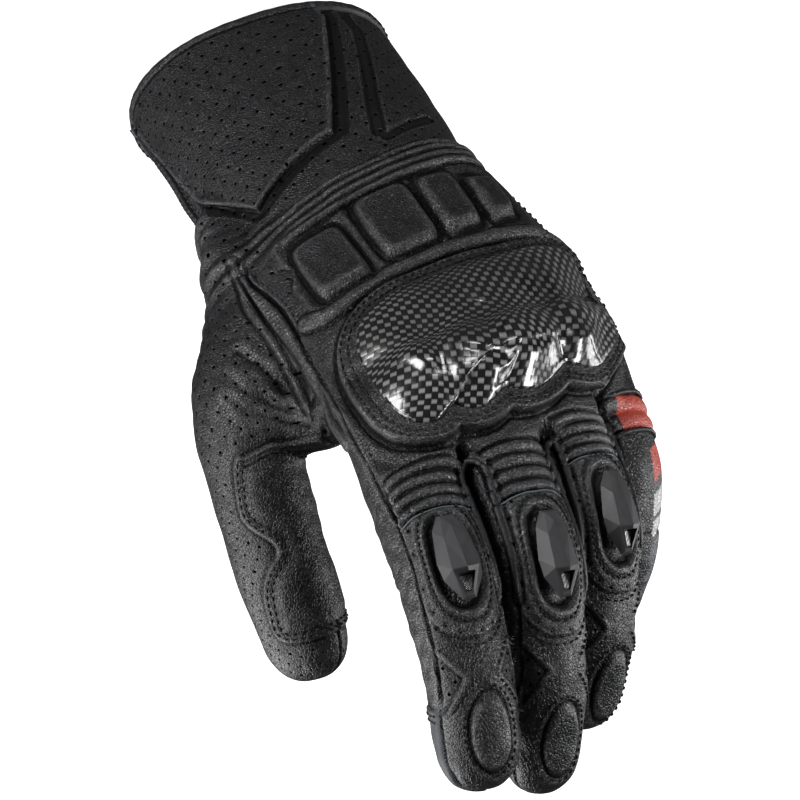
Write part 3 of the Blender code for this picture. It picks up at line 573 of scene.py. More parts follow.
def glove_field():
    low, high = np.array([-84.0, -266.0, -96.0]), np.array([56.0, 14.0, 42.0])
    size = np.ceil((high - low) / GRID_CELL).astype(int)
    axes = [low[i] + GRID_CELL * np.arange(size[i]) for i in range(3)]
    values = np.empty(tuple(size), np.float32)
    for part, points in slabs(axes):
        values[part] = hand_field(points)[0]
    fingers, thumb = (np.full(tuple(size), 1e3, np.float32) for _ in range(2))
    for name in DIGITS:
        box_low, box_high = digit_box(name, 24.0)
        start = np.clip(np.floor((box_low - low) / GRID_CELL).astype(int), 0, size)
        stop = np.clip(np.ceil((box_high - low) / GRID_CELL).astype(int), 0, size)
        box = tuple(slice(start[i], stop[i]) for i in range(3))
        points = grid_points([axes[i][box[i]] for i in range(3)])
        distance = digit_local(name, points.reshape(-1, 3))[1].reshape(points.shape[:3])
        digits = thumb if name == "thumb" else fingers
        digits[box] = np.minimum(digits[box], distance.astype(np.float32))
    values = smooth_union(values, np.minimum(fingers, 60), 5.0)
    values = smooth_union(values, np.minimum(thumb, 60), 15.0)
    # the web of leather between the thumb and the hand
    web_thumb, web_hand = np.array([-57.0, -129.0, -27.0]), np.array([-33.0, -146.0, -13.0])
    web_radius, web_blend = 8.0, 7.0
    for part, points in slabs(axes):
        web = segment_distance(points, web_thumb, web_hand) - web_radius
        values[part] = smooth_union(values[part], web, web_blend)
    return values + PUSH, low


def surface_nets(values, low):
    """Quads round the grid's zero level, with one vertex in each cell it crosses."""
    inside = values < 0
    size = np.array(values.shape)
    corners = [(a, b, c) for a in (0, 1) for b in (0, 1) for c in (0, 1)]
    count = np.zeros(tuple(size - 1), np.int8)
    for corner in corners:
        count += inside[tuple(slice(k, n - 1 + k) for k, n in zip(corner, size))]
    cells = np.argwhere((count > 0) & (count < 8))
    ids = np.full(tuple(size - 1), -1, np.int32)
    ids[tuple(cells.T)] = np.arange(len(cells))
    at_corner = {corner: values[tuple((cells + corner).T)] for corner in corners}
    total, crossings = np.zeros((len(cells), 3)), np.zeros(len(cells))
    for corner in corners:
        for axis in range(3):
            if corner[axis]:
                continue
            other = list(corner)
            other[axis] = 1
            start, end = at_corner[corner], at_corner[tuple(other)]
            crossed = (start < 0) != (end < 0)
            point = np.zeros((len(cells), 3)) + corner
            point[:, axis] = np.where(crossed, start / np.where(crossed, start - end, 1), 0)
            total += point * crossed[:, None]
            crossings += crossed
    vertices = low + GRID_CELL * (cells + total / crossings[:, None])
    quads = []
    for axis in range(3):
        near = [slice(1, -1)] * 3
        near[axis] = slice(0, -1)
        far = list(near)
        far[axis] = slice(1, None)
        start, end = inside[tuple(near)], inside[tuple(far)]
        sides = [k for k in range(3) if k != axis]
        if axis == 1:
            sides = sides[::-1]
        for flipped, crossed in ((False, start & ~end), (True, ~start & end)):
            edges = np.argwhere(crossed) + [int(k != axis) for k in range(3)]
            ring = []
            for step in ((-1, -1), (0, -1), (0, 0), (-1, 0)):
                cell = edges.copy()
                cell[:, sides] += step
                ring.append(ids[tuple(cell.T)])
            quad = np.stack(ring, 1)
            quads.append(quad[:, ::-1] if flipped else quad)
    quads = np.concatenate(quads)
    return vertices, quads[(quads >= 0).all(1)]


def quad_edges(quads):
    return np.concatenate([quads[:, [k, (k + 1) % 4]] for k in range(4)])


def neighbour_mean(values, edges):
    start, end = edges.T
    size = len(values)
    count = np.bincount(start, minlength=size) + np.bincount(end, minlength=size)
    total = [np.bincount(start, column[end], size) + np.bincount(end, column[start], size)
             for column in values.T]
    return np.stack(total, 1) / np.maximum(count, 1)[:, None]


def vertex_normals(vertices, quads):
    a, b, c, d = (vertices[quads[:, i]] for i in range(4))
    face = np.cross(c - a, d - b)
    size = len(vertices)
    return unit_rows(np.stack([
        sum(np.bincount(quads[:, k], face[:, i], size) for k in range(4))
        for i in range(3)], 1))


def compact(faces):
    """The vertices the faces use, and the faces renumbered to them."""
    used, index = np.unique(faces, return_inverse=True)
    return used, index.reshape(faces.shape)


def raw_mesh(name, points, faces):
    mesh = bpy.data.meshes.new(name)
    mesh.vertices.add(len(points))
    mesh.vertices.foreach_set("co", points.astype(np.float32).ravel())
    mesh.loops.add(faces.size)
    mesh.loops.foreach_set("vertex_index", faces.astype(np.int32).ravel())
    mesh.polygons.add(len(faces))
    starts = np.arange(0, faces.size, faces.shape[1], dtype=np.int32)
    mesh.polygons.foreach_set("loop_start", starts)
    mesh.update(calc_edges=True)
    return mesh


def glove_mesh(name, points, faces):
    """A smooth-shaded mesh in metres from points in the hand frame."""
    mesh = raw_mesh(name, world(points) / 1000.0, faces)
    mesh.validate()
    mesh.polygons.foreach_set("use_smooth", np.ones(len(mesh.polygons), bool))
    return mesh


def link(name, data):
    made = bpy.data.objects.new(name, data)
    bpy.context.scene.collection.objects.link(made)
    return made


def subdivide(points, quads):
    mesh = raw_mesh("tmp", points, quads)
    holder = link("tmp", mesh)
    modifier = holder.modifiers.new("subdivide", "SUBSURF")
    modifier.levels = modifier.render_levels = 1
    graph = bpy.context.evaluated_depsgraph_get()
    result = holder.evaluated_get(graph).to_mesh()
    fine = np.empty(len(result.vertices) * 3, np.float32)
    result.vertices.foreach_get("co", fine)
    fine_quads = np.empty(len(result.loops), np.int32)
    result.loops.foreach_get("vertex_index", fine_quads)
    bpy.data.objects.remove(holder, do_unlink=True)
    bpy.data.meshes.remove(mesh)
    return fine.reshape(-1, 3).astype(float), fine_quads.reshape(-1, 4)


def make_skin():
    points, quads = surface_nets(*glove_field())
    edges = np.unique(np.sort(quad_edges(quads), 1), axis=0)
    # smooth and swell back, three times over
    for factor in (0.5, -0.52) * 3:
        points = points + factor * (neighbour_mean(points, edges) - points)
    # cut off everything past the rim
    corners = points[quads]
    kept = (corners[:, :, 1] < (rim_y(corners[:, :, 0]) - 1.2)).all(1)
    used, quads = compact(quads[kept])
    points = points[used]
    return subdivide(points + vertex_normals(points, quads) * PUSH, quads)


skin, quads = make_skin()
skin_x, skin_y, skin_z = skin.T  # views, which follow the skin as it is moved
skin_edges = quad_edges(quads)
normals = vertex_normals(skin, quads)
COUNT = len(skin)


def smoothed(values, times):
    for _ in range(times):
        values = neighbour_mean(values, skin_edges)
    return values


# ------------------------------------------------------------------ which digit owns what

hand_distance, hand_angle = hand_field(skin)
digit_distance = np.full((COUNT, 5), 99.0)
digit_along, digit_angle = np.zeros((COUNT, 5)), np.zeros((COUNT, 5))
for i, name in enumerate(DIGITS):
    box_low, box_high = digit_box(name, 26.0)
    boxed = ((skin > box_low) & (skin < box_high)).all(1)
    found = digit_local(name, skin[boxed])
    digit_along[boxed, i], digit_distance[boxed, i], digit_angle[boxed, i] = found

nearest_finger = digit_distance[:, :4].argmin(1)
finger_distance = digit_distance[np.arange(COUNT), nearest_finger]
finger_along = digit_along[np.arange(COUNT), nearest_finger]
finger_gap = np.sort(digit_distance[:, :4], axis=1)[:, 1] - finger_distance
owner = np.full(COUNT, -1)  # an index of DIGITS, or -1 for the hand and cuff
fingered = (finger_distance < 16) & (finger_along > -8) & (skin_y < -128)
owner[fingered] = nearest_finger[fingered]
thumb_distance = digit_distance[:, THUMB_INDEX]
thumb_lead = hand_distance - thumb_distance
thumb_share = rise(digit_along[:, THUMB_INDEX], 0, 26) * rise(thumb_lead, -7, 9)
owner[(thumb_share > 0) & (thumb_distance < finger_distance + 2)
      & (thumb_distance < 30)] = THUMB_INDEX

# how far each point follows the further body at the wrist and at each digit joint
to_hand = rise(-skin_y, 76, 98)
to_first, to_second, to_third = np.zeros(COUNT), np.zeros(COUNT), np.zeros(COUNT)
level = np.zeros(COUNT, int)  # 0 root, 1 middle, 2 tip
for i, name in enumerate(DIGITS):
    mine = owner == i
    along = digit_along[mine, i]
    first, last = LINES[name].joints[1:3]
    if name == "thumb":
        cut, tip_cut = 54.5, 72.0
        free = rise(along, 42, 54) * rise(thumb_lead[mine], 3, 11)
        to_first[mine] = np.maximum(thumb_share[mine], free)
        to_second[mine] = rise(along, cut + 0.3, tip_cut - 0.5)
        to_third[mine] = rise(along, tip_cut + 0.5, last + 9)
    else:
        cut = first - (7.5 if name == "little" else 10.5)
        tip_cut = (first + last) / 2 + 1
        web = FINGERS[name]["web"]
        free = 1 - fall(along, web - 1, web + 7) * fall(finger_gap[mine], 0.5, 9)
        root = rise(along, -6, 14) * free
        to_first[mine] = np.maximum(root, rise(along, web, cut - 0.5))
        to_second[mine] = rise(along, cut + 0.3, first + 9)
        to_third[mine] = rise(along, max(tip_cut + 0.3, last - 9), last + 8)
    level[mine] = (along > cut).astype(int) + (along > tip_cut)

# ------------------------------------------------------------------ what is sewn into the skin

RED, WHITE, SLATE, TOUCH, GLOSS, SUEDE = range(1, 7)
relief = np.zeros(COUNT)  # millimetres out along the normals
wear_and_sheen = np.zeros(COUNT)  # lighter where scuffed, and where a highlight is painted on raised edges
paint = np.zeros(COUNT)
punch = np.zeros((COUNT, 3))  # millimetres across, millimetres along, how much
SEWN = []  # lines on the skin: (points, kind, stitch spacing or radius)
HOLES = []  # (points, radius)


def sew(points, spacing):
    SEWN.append((points, "stitch", spacing))


def path_distance(path, reach=8.0):
    """Each skin point's distance to a path in space, worked out only near it."""
    out = np.full(COUNT, 99.0)
    near = ((skin > path.min(0) - reach) & (skin < path.max(0) + reach)).all(1)
    near = np.where(near)[0]
    best = np.full(len(near), 99.0)
    for a, b in zip(path[:-1], path[1:]):
        best = np.minimum(best, segment_distance(skin[near], a, b))
    out[near] = best
    return out


def hand_path(*stations):
    """A smooth line through (y, degrees) stations on the hand."""
    y, degrees = np.array(stations, float).T
    return spline(hand_point(y, np.radians(degrees)))


# coordinates on the back of the hand
dorsal = ((skin_y < -84) & (skin_y > -215) & (skin_z > -28) & (normals[:, 2] > 0.05)
          & (owner != THUMB_INDEX))
sheet_u, sheet_q = np.full(COUNT, 99.0), np.full(COUNT, -99.0)
sheet_u[dorsal], sheet_q[dorsal] = SHEET.inverse(skin[dorsal])
back_share = dorsal * rise(normals[:, 2], 0.05, 0.3)

# coordinates round the hand and cuff
ROUND_RADIUS = 38.0  # turns the angle into millimetres round
around = wrap_angle(hand_angle)
degrees = np.degrees(around)
round_mm = around * ROUND_RADIUS
on_cuff = skin_y > -96
from_rim = rim_y(skin_x) - skin_y


def cuff_distance(*stations, closed=False):
    """Distance on the cuff to a line of (degrees, y) stations."""
    line = [(math.radians(angle) * ROUND_RADIUS, y) for angle, y in stations]
    return line_distance(round_mm, skin_y, line, closed)


# worn leather over foam
relief += 0.16 * waves(skin, 26, 1) + 0.07 * waves(skin, 9, 2)

# the cuff's perforated panel, laid over, with a glossy band along its edge
panel = cuff_distance(
    (61.5, 6), (60, -14), (88, -65.5), (134, -75.5), (165, -49.5), (176, 6), closed=True)
cuff_share = rise(skin_y, -96, -84)
band = np.where(degrees < 85, 4.4, 3.9)
relief += (1.35 * fall(panel, -0.25, 0.3) + 0.3 * bell(panel + 0.9, 0.7)) * cuff_share
paint[(panel > 0.1) & (panel < band) & on_cuff & (skin_y < -3)
      & (degrees < 158) & (degrees > 40)] = GLOSS
relief -= (0.3 * rise(panel, 0.1, 0.5) * fall(panel, band - 1.5, band + 0.8)
           * rise(-skin_y, 3, 5) * fall(degrees, 150, 162) * cuff_share)
# two more glossy strips
long_strip = cuff_distance((46.5, -3), (46, -22), (66, -60), (71, -72))
cross_strip = cuff_distance((69, -75), (38, -69.5))
paint[(long_strip < 2.3) & on_cuff] = GLOSS
paint[(cross_strip < 1.9) & on_cuff] = GLOSS
strips = np.minimum(long_strip - 2.3, cross_strip - 1.9)
relief -= 0.45 * fall(strips, -0.3, 0.3) * cuff_share
# a groove under the rim
relief -= 0.55 * bell(from_rim - 4.6, 0.6) * on_cuff

# the folded, bound corner where the cuff's two halves meet on the thumb's side
corner = hand_path((-3, 171), (-18, 174), (-34, 178), (-48, 181.5), (-57, 184))
corner_radius = np.interp(np.linspace(0, 1, 40), [0, 0.85, 1], [1.35, 1.3, 0.3])
SEWN.append((corner, "roll", corner_radius))
sew(hand_path((-5, 166), (-18, 169), (-34, 173), (-47, 177)), 2.4)
corner_angle = np.interp(-skin_y, [0, 18, 34, 48, 57], np.radians([171, 174, 178, 181.5, 184]))
relief -= plateau(around - corner_angle, 0.0, 0.05, 0.5, 0.9) * rise(skin_y, -62, -55)

# wrist: soft sewn ribs across the back
wrist = plateau(degrees, 16, 34, 118, 140)
rib_y = skin_y + 2.2 * np.sin((around - np.radians(80)) * 1.6)
rib_place = (-rib_y - 82.2) / 12.4
rib = ribs(rib_place, 4, 0.8)
relief += wrist * (1.25 * rib - 0.55 * (bell(rib_place, 0.035) + bell(rib_place - 1, 0.035)))
# rib tops lighter: wear and a painted highlight
wear_and_sheen += wrist * 0.5 * rib**3
# the cuff's layers bunched where they fold under on the thumb's side
bunch = plateau(-skin_y, 50, 62, 74, 99) * plateau(degrees, 146, 168, 205, 232)
relief += bunch * (
    7.4 + 0.45 * waves(skin * [0.4, 1.3, 0.4], 15, 11)
    + 0.45 * np.sin(skin_y * 0.55 + 1.9 * np.sin(around * 2.2) + 0.5)
    + 0.3 * waves(skin * [0.5, 1.6, 0.5], 6, 12))
# elastic gathers round the rest of the wrist
gathers = np.sin(skin_y * 1.25 + 0.8 * np.sin(around * 3)) * bell(skin_y + 86, 7.5)
relief += (1 - wrist) * 0.42 * gathers

# back pads between sewn channels: centre u, centre q, half width, half length
PADS = [(-27.6, 20.5, 8.2, 13.0), (-5.2, 17.2, 9.6, 13.2),
        (12.4, 17.6, 6.6, 13.2), (26.2, 20.0, 5.2, 12.0)]
pad_distance = np.full(COUNT, 9.0)
back = back_share > 0
for pad_u, pad_q, half_u, half_q in PADS:
    u, q = sheet_u[back] - pad_u, sheet_q[back] - pad_q
    reach = ((abs(u + q * 0.05) / half_u) ** 6 + (abs(q) / half_q) ** 6) ** (1 / 6)
    edge = (reach - 1) * min(half_u, half_q)
    pad_distance[back] = np.minimum(pad_distance[back], edge)
    relief[back] += back_share[back] * (
        2.5 * fall(edge, -1.8, 0.1) - 0.4 * bell(edge - 0.6, 0.6) + 0.2 * bell(edge + 3.0, 1.2))
    # painted highlight on the pads' edges towards the fingers and the index side
    wear_and_sheen[back] += 0.8 * bell(edge + 1.0, 0.6) * rise(q - 0.5 * u, -4, 8)
relief += back_share * 0.8 * bell(pad_distance - 3.1, 1.7)

# the rolled ridge between the pads and the guard, as u, q
RIDGE = spline([(-43, 34), (-38, 38.6), (-27, 37.6), (-10, 34.8), (8, 35.4), (24, 38.8),
                (38, 43.5), (45, 48)])
ridge = line_distance(sheet_u, sheet_q, RIDGE[::4])
relief += back_share * (1.35 * np.clip(1 - (ridge / 3.0) ** 2, 0, 1)
                        - 0.4 * bell(ridge - 3.2, 0.6))
wear_and_sheen += back_share * 0.45 * bell(ridge, 0.9)

# the knuckle guard's outline, as u, q
GUARD_OUTLINE = [
    (-37.6, 66), (-37.0, 58), (-34, 52), (-28, 47.5), (-19, 44.8), (-8, 44.0), (4, 45.2),
    (16, 47.4), (27, 50.6), (35, 55), (39.5, 61), (41, 68), (40, 76), (37, 82.5), (32, 87),
    (26.5, 89.6), (20.5, 89.9), (15.5, 88.2), (12.4, 86.6), (9.5, 88.0), (5.5, 89.6),
    (0.5, 90.2), (-4.5, 89.2), (-7.6, 87.4), (-9.4, 87.2), (-11.5, 88.8), (-15.5, 90.6),
    (-19.5, 89.8), (-22.5, 87.6), (-25.5, 89.8), (-29.5, 91.2), (-33.5, 89.4),
    (-36.0, 84.5), (-37.3, 76),
]
GUARD_CENTRE = np.array([4.0, 68.0])
guard_loop = closed_curve(GUARD_OUTLINE, 96)
guard = line_distance(sheet_u, sheet_q, guard_loop, closed=True)


def guard_seat(q):
    """How far the guard's seat stands off the sheet."""
    return 0.9 + 1.5 * rise(q, 64, 78)


# the leather round the guard is drawn over the knuckles, not down between them
near = dorsal & (sheet_q > 40) & (sheet_u < 47)
pull = SHEET.point(sheet_u[near], sheet_q[near]) - skin[near]
share = (rise(sheet_q[near], 44, 58) * fall(sheet_u[near], 40, 46.5)
         * fall(guard[near], 10.0, 16.0) * rise(normals[near, 2], 0.05, 0.35))
limit = np.clip(8 / np.maximum(np.linalg.norm(pull, axis=1), 1e-3), 0, 1)
skin[near] += pull * (share * limit)[:, None]
share = (plateau(-skin_y, 148, 156, 184, 194) * rise(skin_z, -16, -8)
         * fall(finger_gap, 5, 11) * (owner != THUMB_INDEX))
skin += (smoothed(skin, 10) - skin) * share[:, None]

# the roots between the fingers are drawn up into a shallow web
WEBS = [(-23.3, -185.0, 5.0), (4.6, -186.0, 0.0), (29.5, -173.5, -5.0)]
web_calm = np.ones(COUNT)
for web in WEBS:
    near = np.linalg.norm((skin - web) * [1.0, 0.75, 0.75], axis=1)
    patch = near < 11
    local = np.cumsum(patch) - 1
    edges = local[skin_edges[patch[skin_edges].all(1)]]
    points = skin[patch].copy()
    share = fall(near[patch], 3.0, 7.5)[:, None]
    for _ in range(45):
        points += (neighbour_mean(points, edges) - points) * share
    skin[patch] = points
    web_calm[patch] = np.minimum(web_calm[patch], 0.15 + 0.85 * rise(near[patch], 4.0, 8.0))
normals = vertex_normals(skin, quads)

# the guard's sewn surround
raised = plateau(guard, -2.0, -0.2, 4.6, 5.9)
relief += back_share * (1 - 0.5 * rise(sheet_u, 40, 47)) * (
    raised * (guard_seat(sheet_q) + 1.15)
    + 0.2 * bell(guard - 4.6, 0.8) - 0.22 * bell(guard - 2.1, 0.35)
    - 0.22 * bell(guard - 3.7, 0.3) - 0.7 * bell(guard - 6.6, 0.7))
relief[(guard < -2) & (back_share > 0)] -= 0.3
wear_and_sheen += back_share * 0.3 * bell(guard - 4.6, 0.6)
for out in (2.1, 3.7):
    loop = offset_loop(guard_loop, out, GUARD_CENTRE)
    points = SHEET.point(np.clip(loop[:, 0], -46.8, 47.2), loop[:, 1], 3.0)
    sew(np.vstack([points, points[:1]]), 2.5)
sew(SHEET.point(RIDGE[:, 0], RIDGE[:, 1] + 3.6, 1.0), 2.6)

# thumb's side of the hand: two deep seams, a gathered roll between them and a raised edge
UPPER_SEAM = spline([
    (-43, -84, 6), (-45.4, -95.8, 2.4), (-44.6, -106, 3.4), (-43.7, -115.4, 3.9),
    (-44.2, -128, 2.8), (-44.9, -140, 1.6), (-46.5, -151, 2.0), (-47.4, -160, 2.0),
    (-47.8, -169.9, 0.3), (-48.2, -182, -2.1), (-48.6, -194.7, -4.7), (-49.5, -201.8, -4.9)])
LOWER_SEAM = spline([
    (-46.5, -92.1, 0.3), (-48.1, -111.3, 0.5), (-47.2, -122.5, -0.6), (-46.5, -132.3, -1.8),
    (-45.4, -142.2, -9.5), (-44.3, -147.9, -16.7)])
SIDE_EDGE = spline([
    (-44.5, -86, 1.0), (-49.1, -101.1, -0.6), (-49.2, -114.9, -1.5), (-47.8, -124.5, -4.7),
    (-46.7, -134.6, -10.3), (-47.1, -144, -12.1)])
SIDE_ROLL = spline([
    (-46.0, -96, 1.4), (-46.4, -105, 2.0), (-46.2, -115.0, 2.2), (-45.8, -125, 1.4),
    (-45.7, -135, 0.0), (-46.0, -145, -3.5), (-46.6, -155, -5.5), (-47.4, -166, -4.5)])
upper, lower, side_edge, side_roll = (
    path_distance(path) for path in (UPPER_SEAM, LOWER_SEAM, SIDE_EDGE, SIDE_ROLL))
relief -= 1.5 * bell(upper, 0.65) + 1.3 * bell(lower, 0.6)
relief += (1.1 * np.sqrt(np.clip(1 - (side_roll / 2.9) ** 2, 0, 1))
           * rise(np.minimum(upper, lower), 0.1, 0.7))
relief += (0.3 * np.clip(1 - side_roll / 3.2, 0, 1)
           * np.sin(skin_y * 4.0 + skin_z * 1.7 + 0.6 * np.sin(skin_y * 0.9))
           * plateau(-skin_y, 98, 104, 140, 152))
wear_and_sheen += 0.5 * bell(side_roll, 1.2) * rise(-skin_y, 90, 98)
relief += 0.55 * bell(side_edge, 0.9) - 0.4 * bell(side_edge - 1.8, 0.5)
wear_and_sheen += 0.8 * bell(side_edge, 0.6)
# deep folds where the thumb leaves the hand
fold_share = 1 / (1 + np.exp(-((skin_x + 61) / 2.5)))
for points in (
    [(-65.6, -125.6, -13.3), (-62.2, -132.4, -14.2), (-54.2, -139.0, -16.0),
     (-48.8, -144.6, -15.6)],
    [(-64.2, -118.0, -12.2), (-60.8, -127.9, -11.4), (-54.4, -135.2, -13.6),
     (-49.3, -141.6, -12.8)],
    [(-57.4, -115.5, -7.0), (-53.6, -123.8, -8.6), (-50.2, -131.7, -11.3)],
):
    fold = path_distance(spline(points))
    relief += fold_share * (-0.7 * bell(fold, 1.3) + 0.4 * bell(fold - 3.4, 1.8))
    wear_and_sheen += 0.3 * fold_share * bell(fold - 2.8, 1.2)
sew(UPPER_SEAM[20:-14] + np.array([2.2, 0.0, 0.8]), 2.6)
# the seam down the little finger's side
little_seam = hand_path((-96, 14), (-115, 10), (-135, 6), (-152, 0), (-165, -8))
relief -= 0.9 * bell(path_distance(little_seam), 0.6)
sew(hand_path((-98, 18), (-115, 14), (-135, 10), (-152, 5)), 2.6)

# palm: the seams round its heel and the thumb's mound, the heel pad, suede and folds
for stations in (
    [(-100, 350), (-108, 330), (-112, 300), (-108, 265), (-100, 240)],
    [(-168, 215), (-150, 228), (-132, 238), (-116, 236), (-104, 222)],
):
    path = hand_path(*stations)
    relief -= 0.8 * bell(path_distance(path), 0.7)
    sew(path, 2.6)
heel = ((round_mm - ROUND_RADIUS * np.radians(-52)) / 13) ** 2 + ((skin_y + 128) / 21) ** 2
heel = np.sqrt(np.where(degrees < 60, heel, 9))
relief += 1.6 * fall(heel, 0.72, 1.0) - 0.5 * bell(heel - 1.02, 0.03)
paint[(normals[:, 2] < -0.35) & (skin_y < -99) & (owner < 0) & (paint == 0)] = SUEDE
folds = plateau(-skin_y, 100, 130, 165, 176) * rise(-normals[:, 2], 0.3, 0.8)
relief += folds * 0.35 * waves(skin * [0.6, 1.0, 0.6], 13, 3)

# perforations on the cuff and the thumb's side of the hand
on_thumb = owner == THUMB_INDEX
punch[:, 0], punch[:, 1] = round_mm, skin_y
punch[:, 2] = (on_cuff * rise(from_rim, 5.5, 6.5)
               * (1 - np.clip(wrist * 3, 0, 1) * rise(-skin_y, 79, 81))
               * plateau(degrees, -15, -8, 225, 232) * fall(-skin_y, 93, 95))
hand_side = ((owner == -1) & (skin_y < -94) & (skin_y > -150) & (degrees > 168)
             & (degrees < 228) & (lower > 2.2) & (side_roll > 4.2))
punch[hand_side, 2] = 1

# ------------------------------------------------------------------ thumb

THUMB_RADIUS = 14.0  # turns the angle into millimetres round
THUMB_DEGREE = THUMB_RADIUS * np.pi / 180
thumb_round = wrap_angle(digit_angle[:, THUMB_INDEX]) * THUMB_RADIUS
thumb_along = digit_along[:, THUMB_INDEX]
punch[on_thumb, 0], punch[on_thumb, 1] = thumb_round[on_thumb], thumb_along[on_thumb]
punch[on_thumb | hand_side, :2] *= 1.45
# the overlay's outline: millimetres along, degrees round
overlay_loop = spline([
    (51, 66), (50.5, 74), (53.5, 82), (60, 87), (67, 89), (72, 79), (76.5, 60), (79.5, 58),
    (83.5, 78), (88, 90), (95, 96), (101.5, 97), (105, 86), (106, 66), (106.5, 45),
    (107, 7), (106.5, -35), (104, -68), (90, -72), (70, -72), (56, -66), (51, -40),
    (49.5, 0), (49, 30)]) * [1, THUMB_DEGREE]
overlay = line_distance(thumb_along, thumb_round, overlay_loop[::3], closed=True)
overlay = np.where(on_thumb, overlay, 9.0)
relief += on_thumb * (
    1.15 * fall(overlay, -1.1, 0.25) - 0.3 * bell(overlay + 1.5, 0.35)
    - 0.3 * bell(overlay + 2.9, 0.35) + 0.5 * fall(overlay, -6.5, -3.4))
wear_and_sheen += on_thumb * 0.35 * bell(overlay + 0.5, 0.6)
punched = ((overlay > 1.6) & (thumb_round > -60 * THUMB_DEGREE)
           & (thumb_round < 225 * THUMB_DEGREE) & (upper > 5) & (lower > 2.0)
           & (side_roll > 4.2))
punch[on_thumb, 2] = punched[on_thumb]
for inset in (1.5, 2.9):
    loop = offset_loop(overlay_loop, -inset, overlay_loop.mean(0))
    sew(digit_point("thumb", loop[:, 0], loop[:, 1] / THUMB_RADIUS, 1.2), 2.4)
# leather gathered behind the thumb's middle joint
relief += (on_thumb * plateau(thumb_along, 6, 20, 46, 52) * (1 - bell(lower, 3))
           * (0.34 * waves(skin * [1.3, 0.6, 0.8], 17, 5)
              + 0.13 * waves(skin * [1.6, 0.7, 0.8], 8, 6)))
relief += (on_thumb * 0.13 * np.sin(thumb_along * 0.95 + 1.1 * np.sin(thumb_round * 0.16))
           * rise(-thumb_round, -10, 14) * bell(thumb_along - 60, 26))
# a groove along the thumb's side and one at its tip
relief -= (on_thumb * 0.9 * bell(thumb_round + 62 * THUMB_DEGREE, 0.6)
           * rise(thumb_along, 54, 60))
relief -= on_thumb * (thumb_along > 104) * 0.7 * bell(thumb_round - 5 * THUMB_DEGREE, 0.6)

# ------------------------------------------------------------------ fingers


class Finger:
    """A finger's skin laid flat: along from the knuckle, across from its back's middle."""

    def __init__(self, index, name):
        self.index, self.name, self.little = index, name, name == "little"
        sizes, line = FINGERS[name], LINES[name]
        self.length, self.web = line.length, sizes["web"]
        self.first, self.last = line.joints[1:3]
        self.scale = sizes["half_widths"][1] / 12.6  # sizes below are for this half width
        self.points = np.where(owner == index)[0]
        self.along = digit_along[self.points, index]
        self.angle = wrap_angle(digit_angle[self.points, index])
        self.half = digit_halves(name, self.along)[0]
        self.across = (np.pi / 2 - self.angle) * self.half
        self.aside = abs(self.across)
        self.seam = self.scale * np.interp(
            self.along, [0, 66, 86, self.length], [12.4, 12.6, 15.6, 15.0])
        self.on_top = self.aside < self.seam
        self.relief, self.wear_and_sheen = np.zeros(len(self.points)), np.zeros(len(self.points))

    def line(self, along, across, out, radius=12.6):
        return digit_point(self.name, along, np.pi / 2 - across / (radius * self.scale), out)

    def lay(self):
        relief[self.points] += self.relief * rise(self.along, 2, 12)
        wear_and_sheen[self.points] += self.wear_and_sheen


def root_ribs(f):
    """Sewn ribs over the finger's root, ending in a pale cord or, on the little, two rolls."""
    start, end = FINGERS[f.name]["ribs"]
    half = 11.5 if f.little else 12.8
    lean = 0.05 if f.name == "index" else 0.0
    bow = 0.012
    place = f.along - bow * f.across**2 + lean * f.across
    part = (place - start) / (end - start)
    inside = fall(f.aside, half - 1.6, half + 0.4)
    rib = ribs(part, 2 if f.little else 4, 0.7)
    f.relief += inside * (1.25 * rib - 0.35) * plateau(part, -0.05, 0.02, 0.98, 1.05)
    f.relief -= inside * 0.8 * (bell(place - start, 0.5) + bell(place - end, 0.5))
    f.wear_and_sheen += inside * 0.5 * rib**4
    across = np.linspace(-half + 0.6, half - 0.6, 40)
    along = end + 0.35 + bow * across**2 - lean * across
    angle = np.pi / 2 - across / digit_halves(f.name, along)[0]
    if f.little:
        red = (part > 0) & (part < 1) & (f.aside < half) & (f.across > -4.5)
        paint[f.points[red]] = RED
        for edge in (start - 0.6, end + 0.6):
            points = digit_point(f.name, edge + bow * across**2, angle, 0.5)
            SEWN.append((points, "roll", 0.75))
    else:
        SEWN.append((digit_point(f.name, along, angle, 0.3), "cord", 0.28))


def seams_and_creases(f):
    """Side seams from the web to the tip, joint creases on the palm side and soft folds."""
    inland = f.seam - f.aside
    fade = plateau(f.along, f.web - 6, f.web, f.length - 5, f.length - 1)
    f.relief -= bell(inland, 0.55) * fade
    f.relief += 0.35 * np.exp(-np.clip(inland, 0, 9) / 2.2) * f.on_top * fade
    palm = rise(-np.cos(f.across / np.maximum(f.half, 1)), 0.2, 0.8)
    for joint, depth in ((f.first, 1.1), (f.last, 0.9)):
        creases = bell(f.along - joint - 2.2, 1.1) + bell(f.along - joint + 2.2, 1.1)
        f.relief -= palm * depth * creases
    points = skin[f.points]
    f.relief += palm * 0.22 * waves(points * [0.5, 1, 1], 9, 20 + f.index)
    f.relief += (0.16 * rise(f.along, f.web - 7, f.web + 3)
                 * waves(points * [1, 1, 1.2], 7, 30 + f.index)
                 * rise(f.aside, f.seam.min() - 1, f.seam.min() + 2))
    # gathers just below the side seam
    f.relief += (0.1 * np.sin(f.along * 3.4 + f.index) * bell(inland + 2.0, 1.5)
                 * plateau(f.along, 24, 30, f.first + 6, f.first + 16))


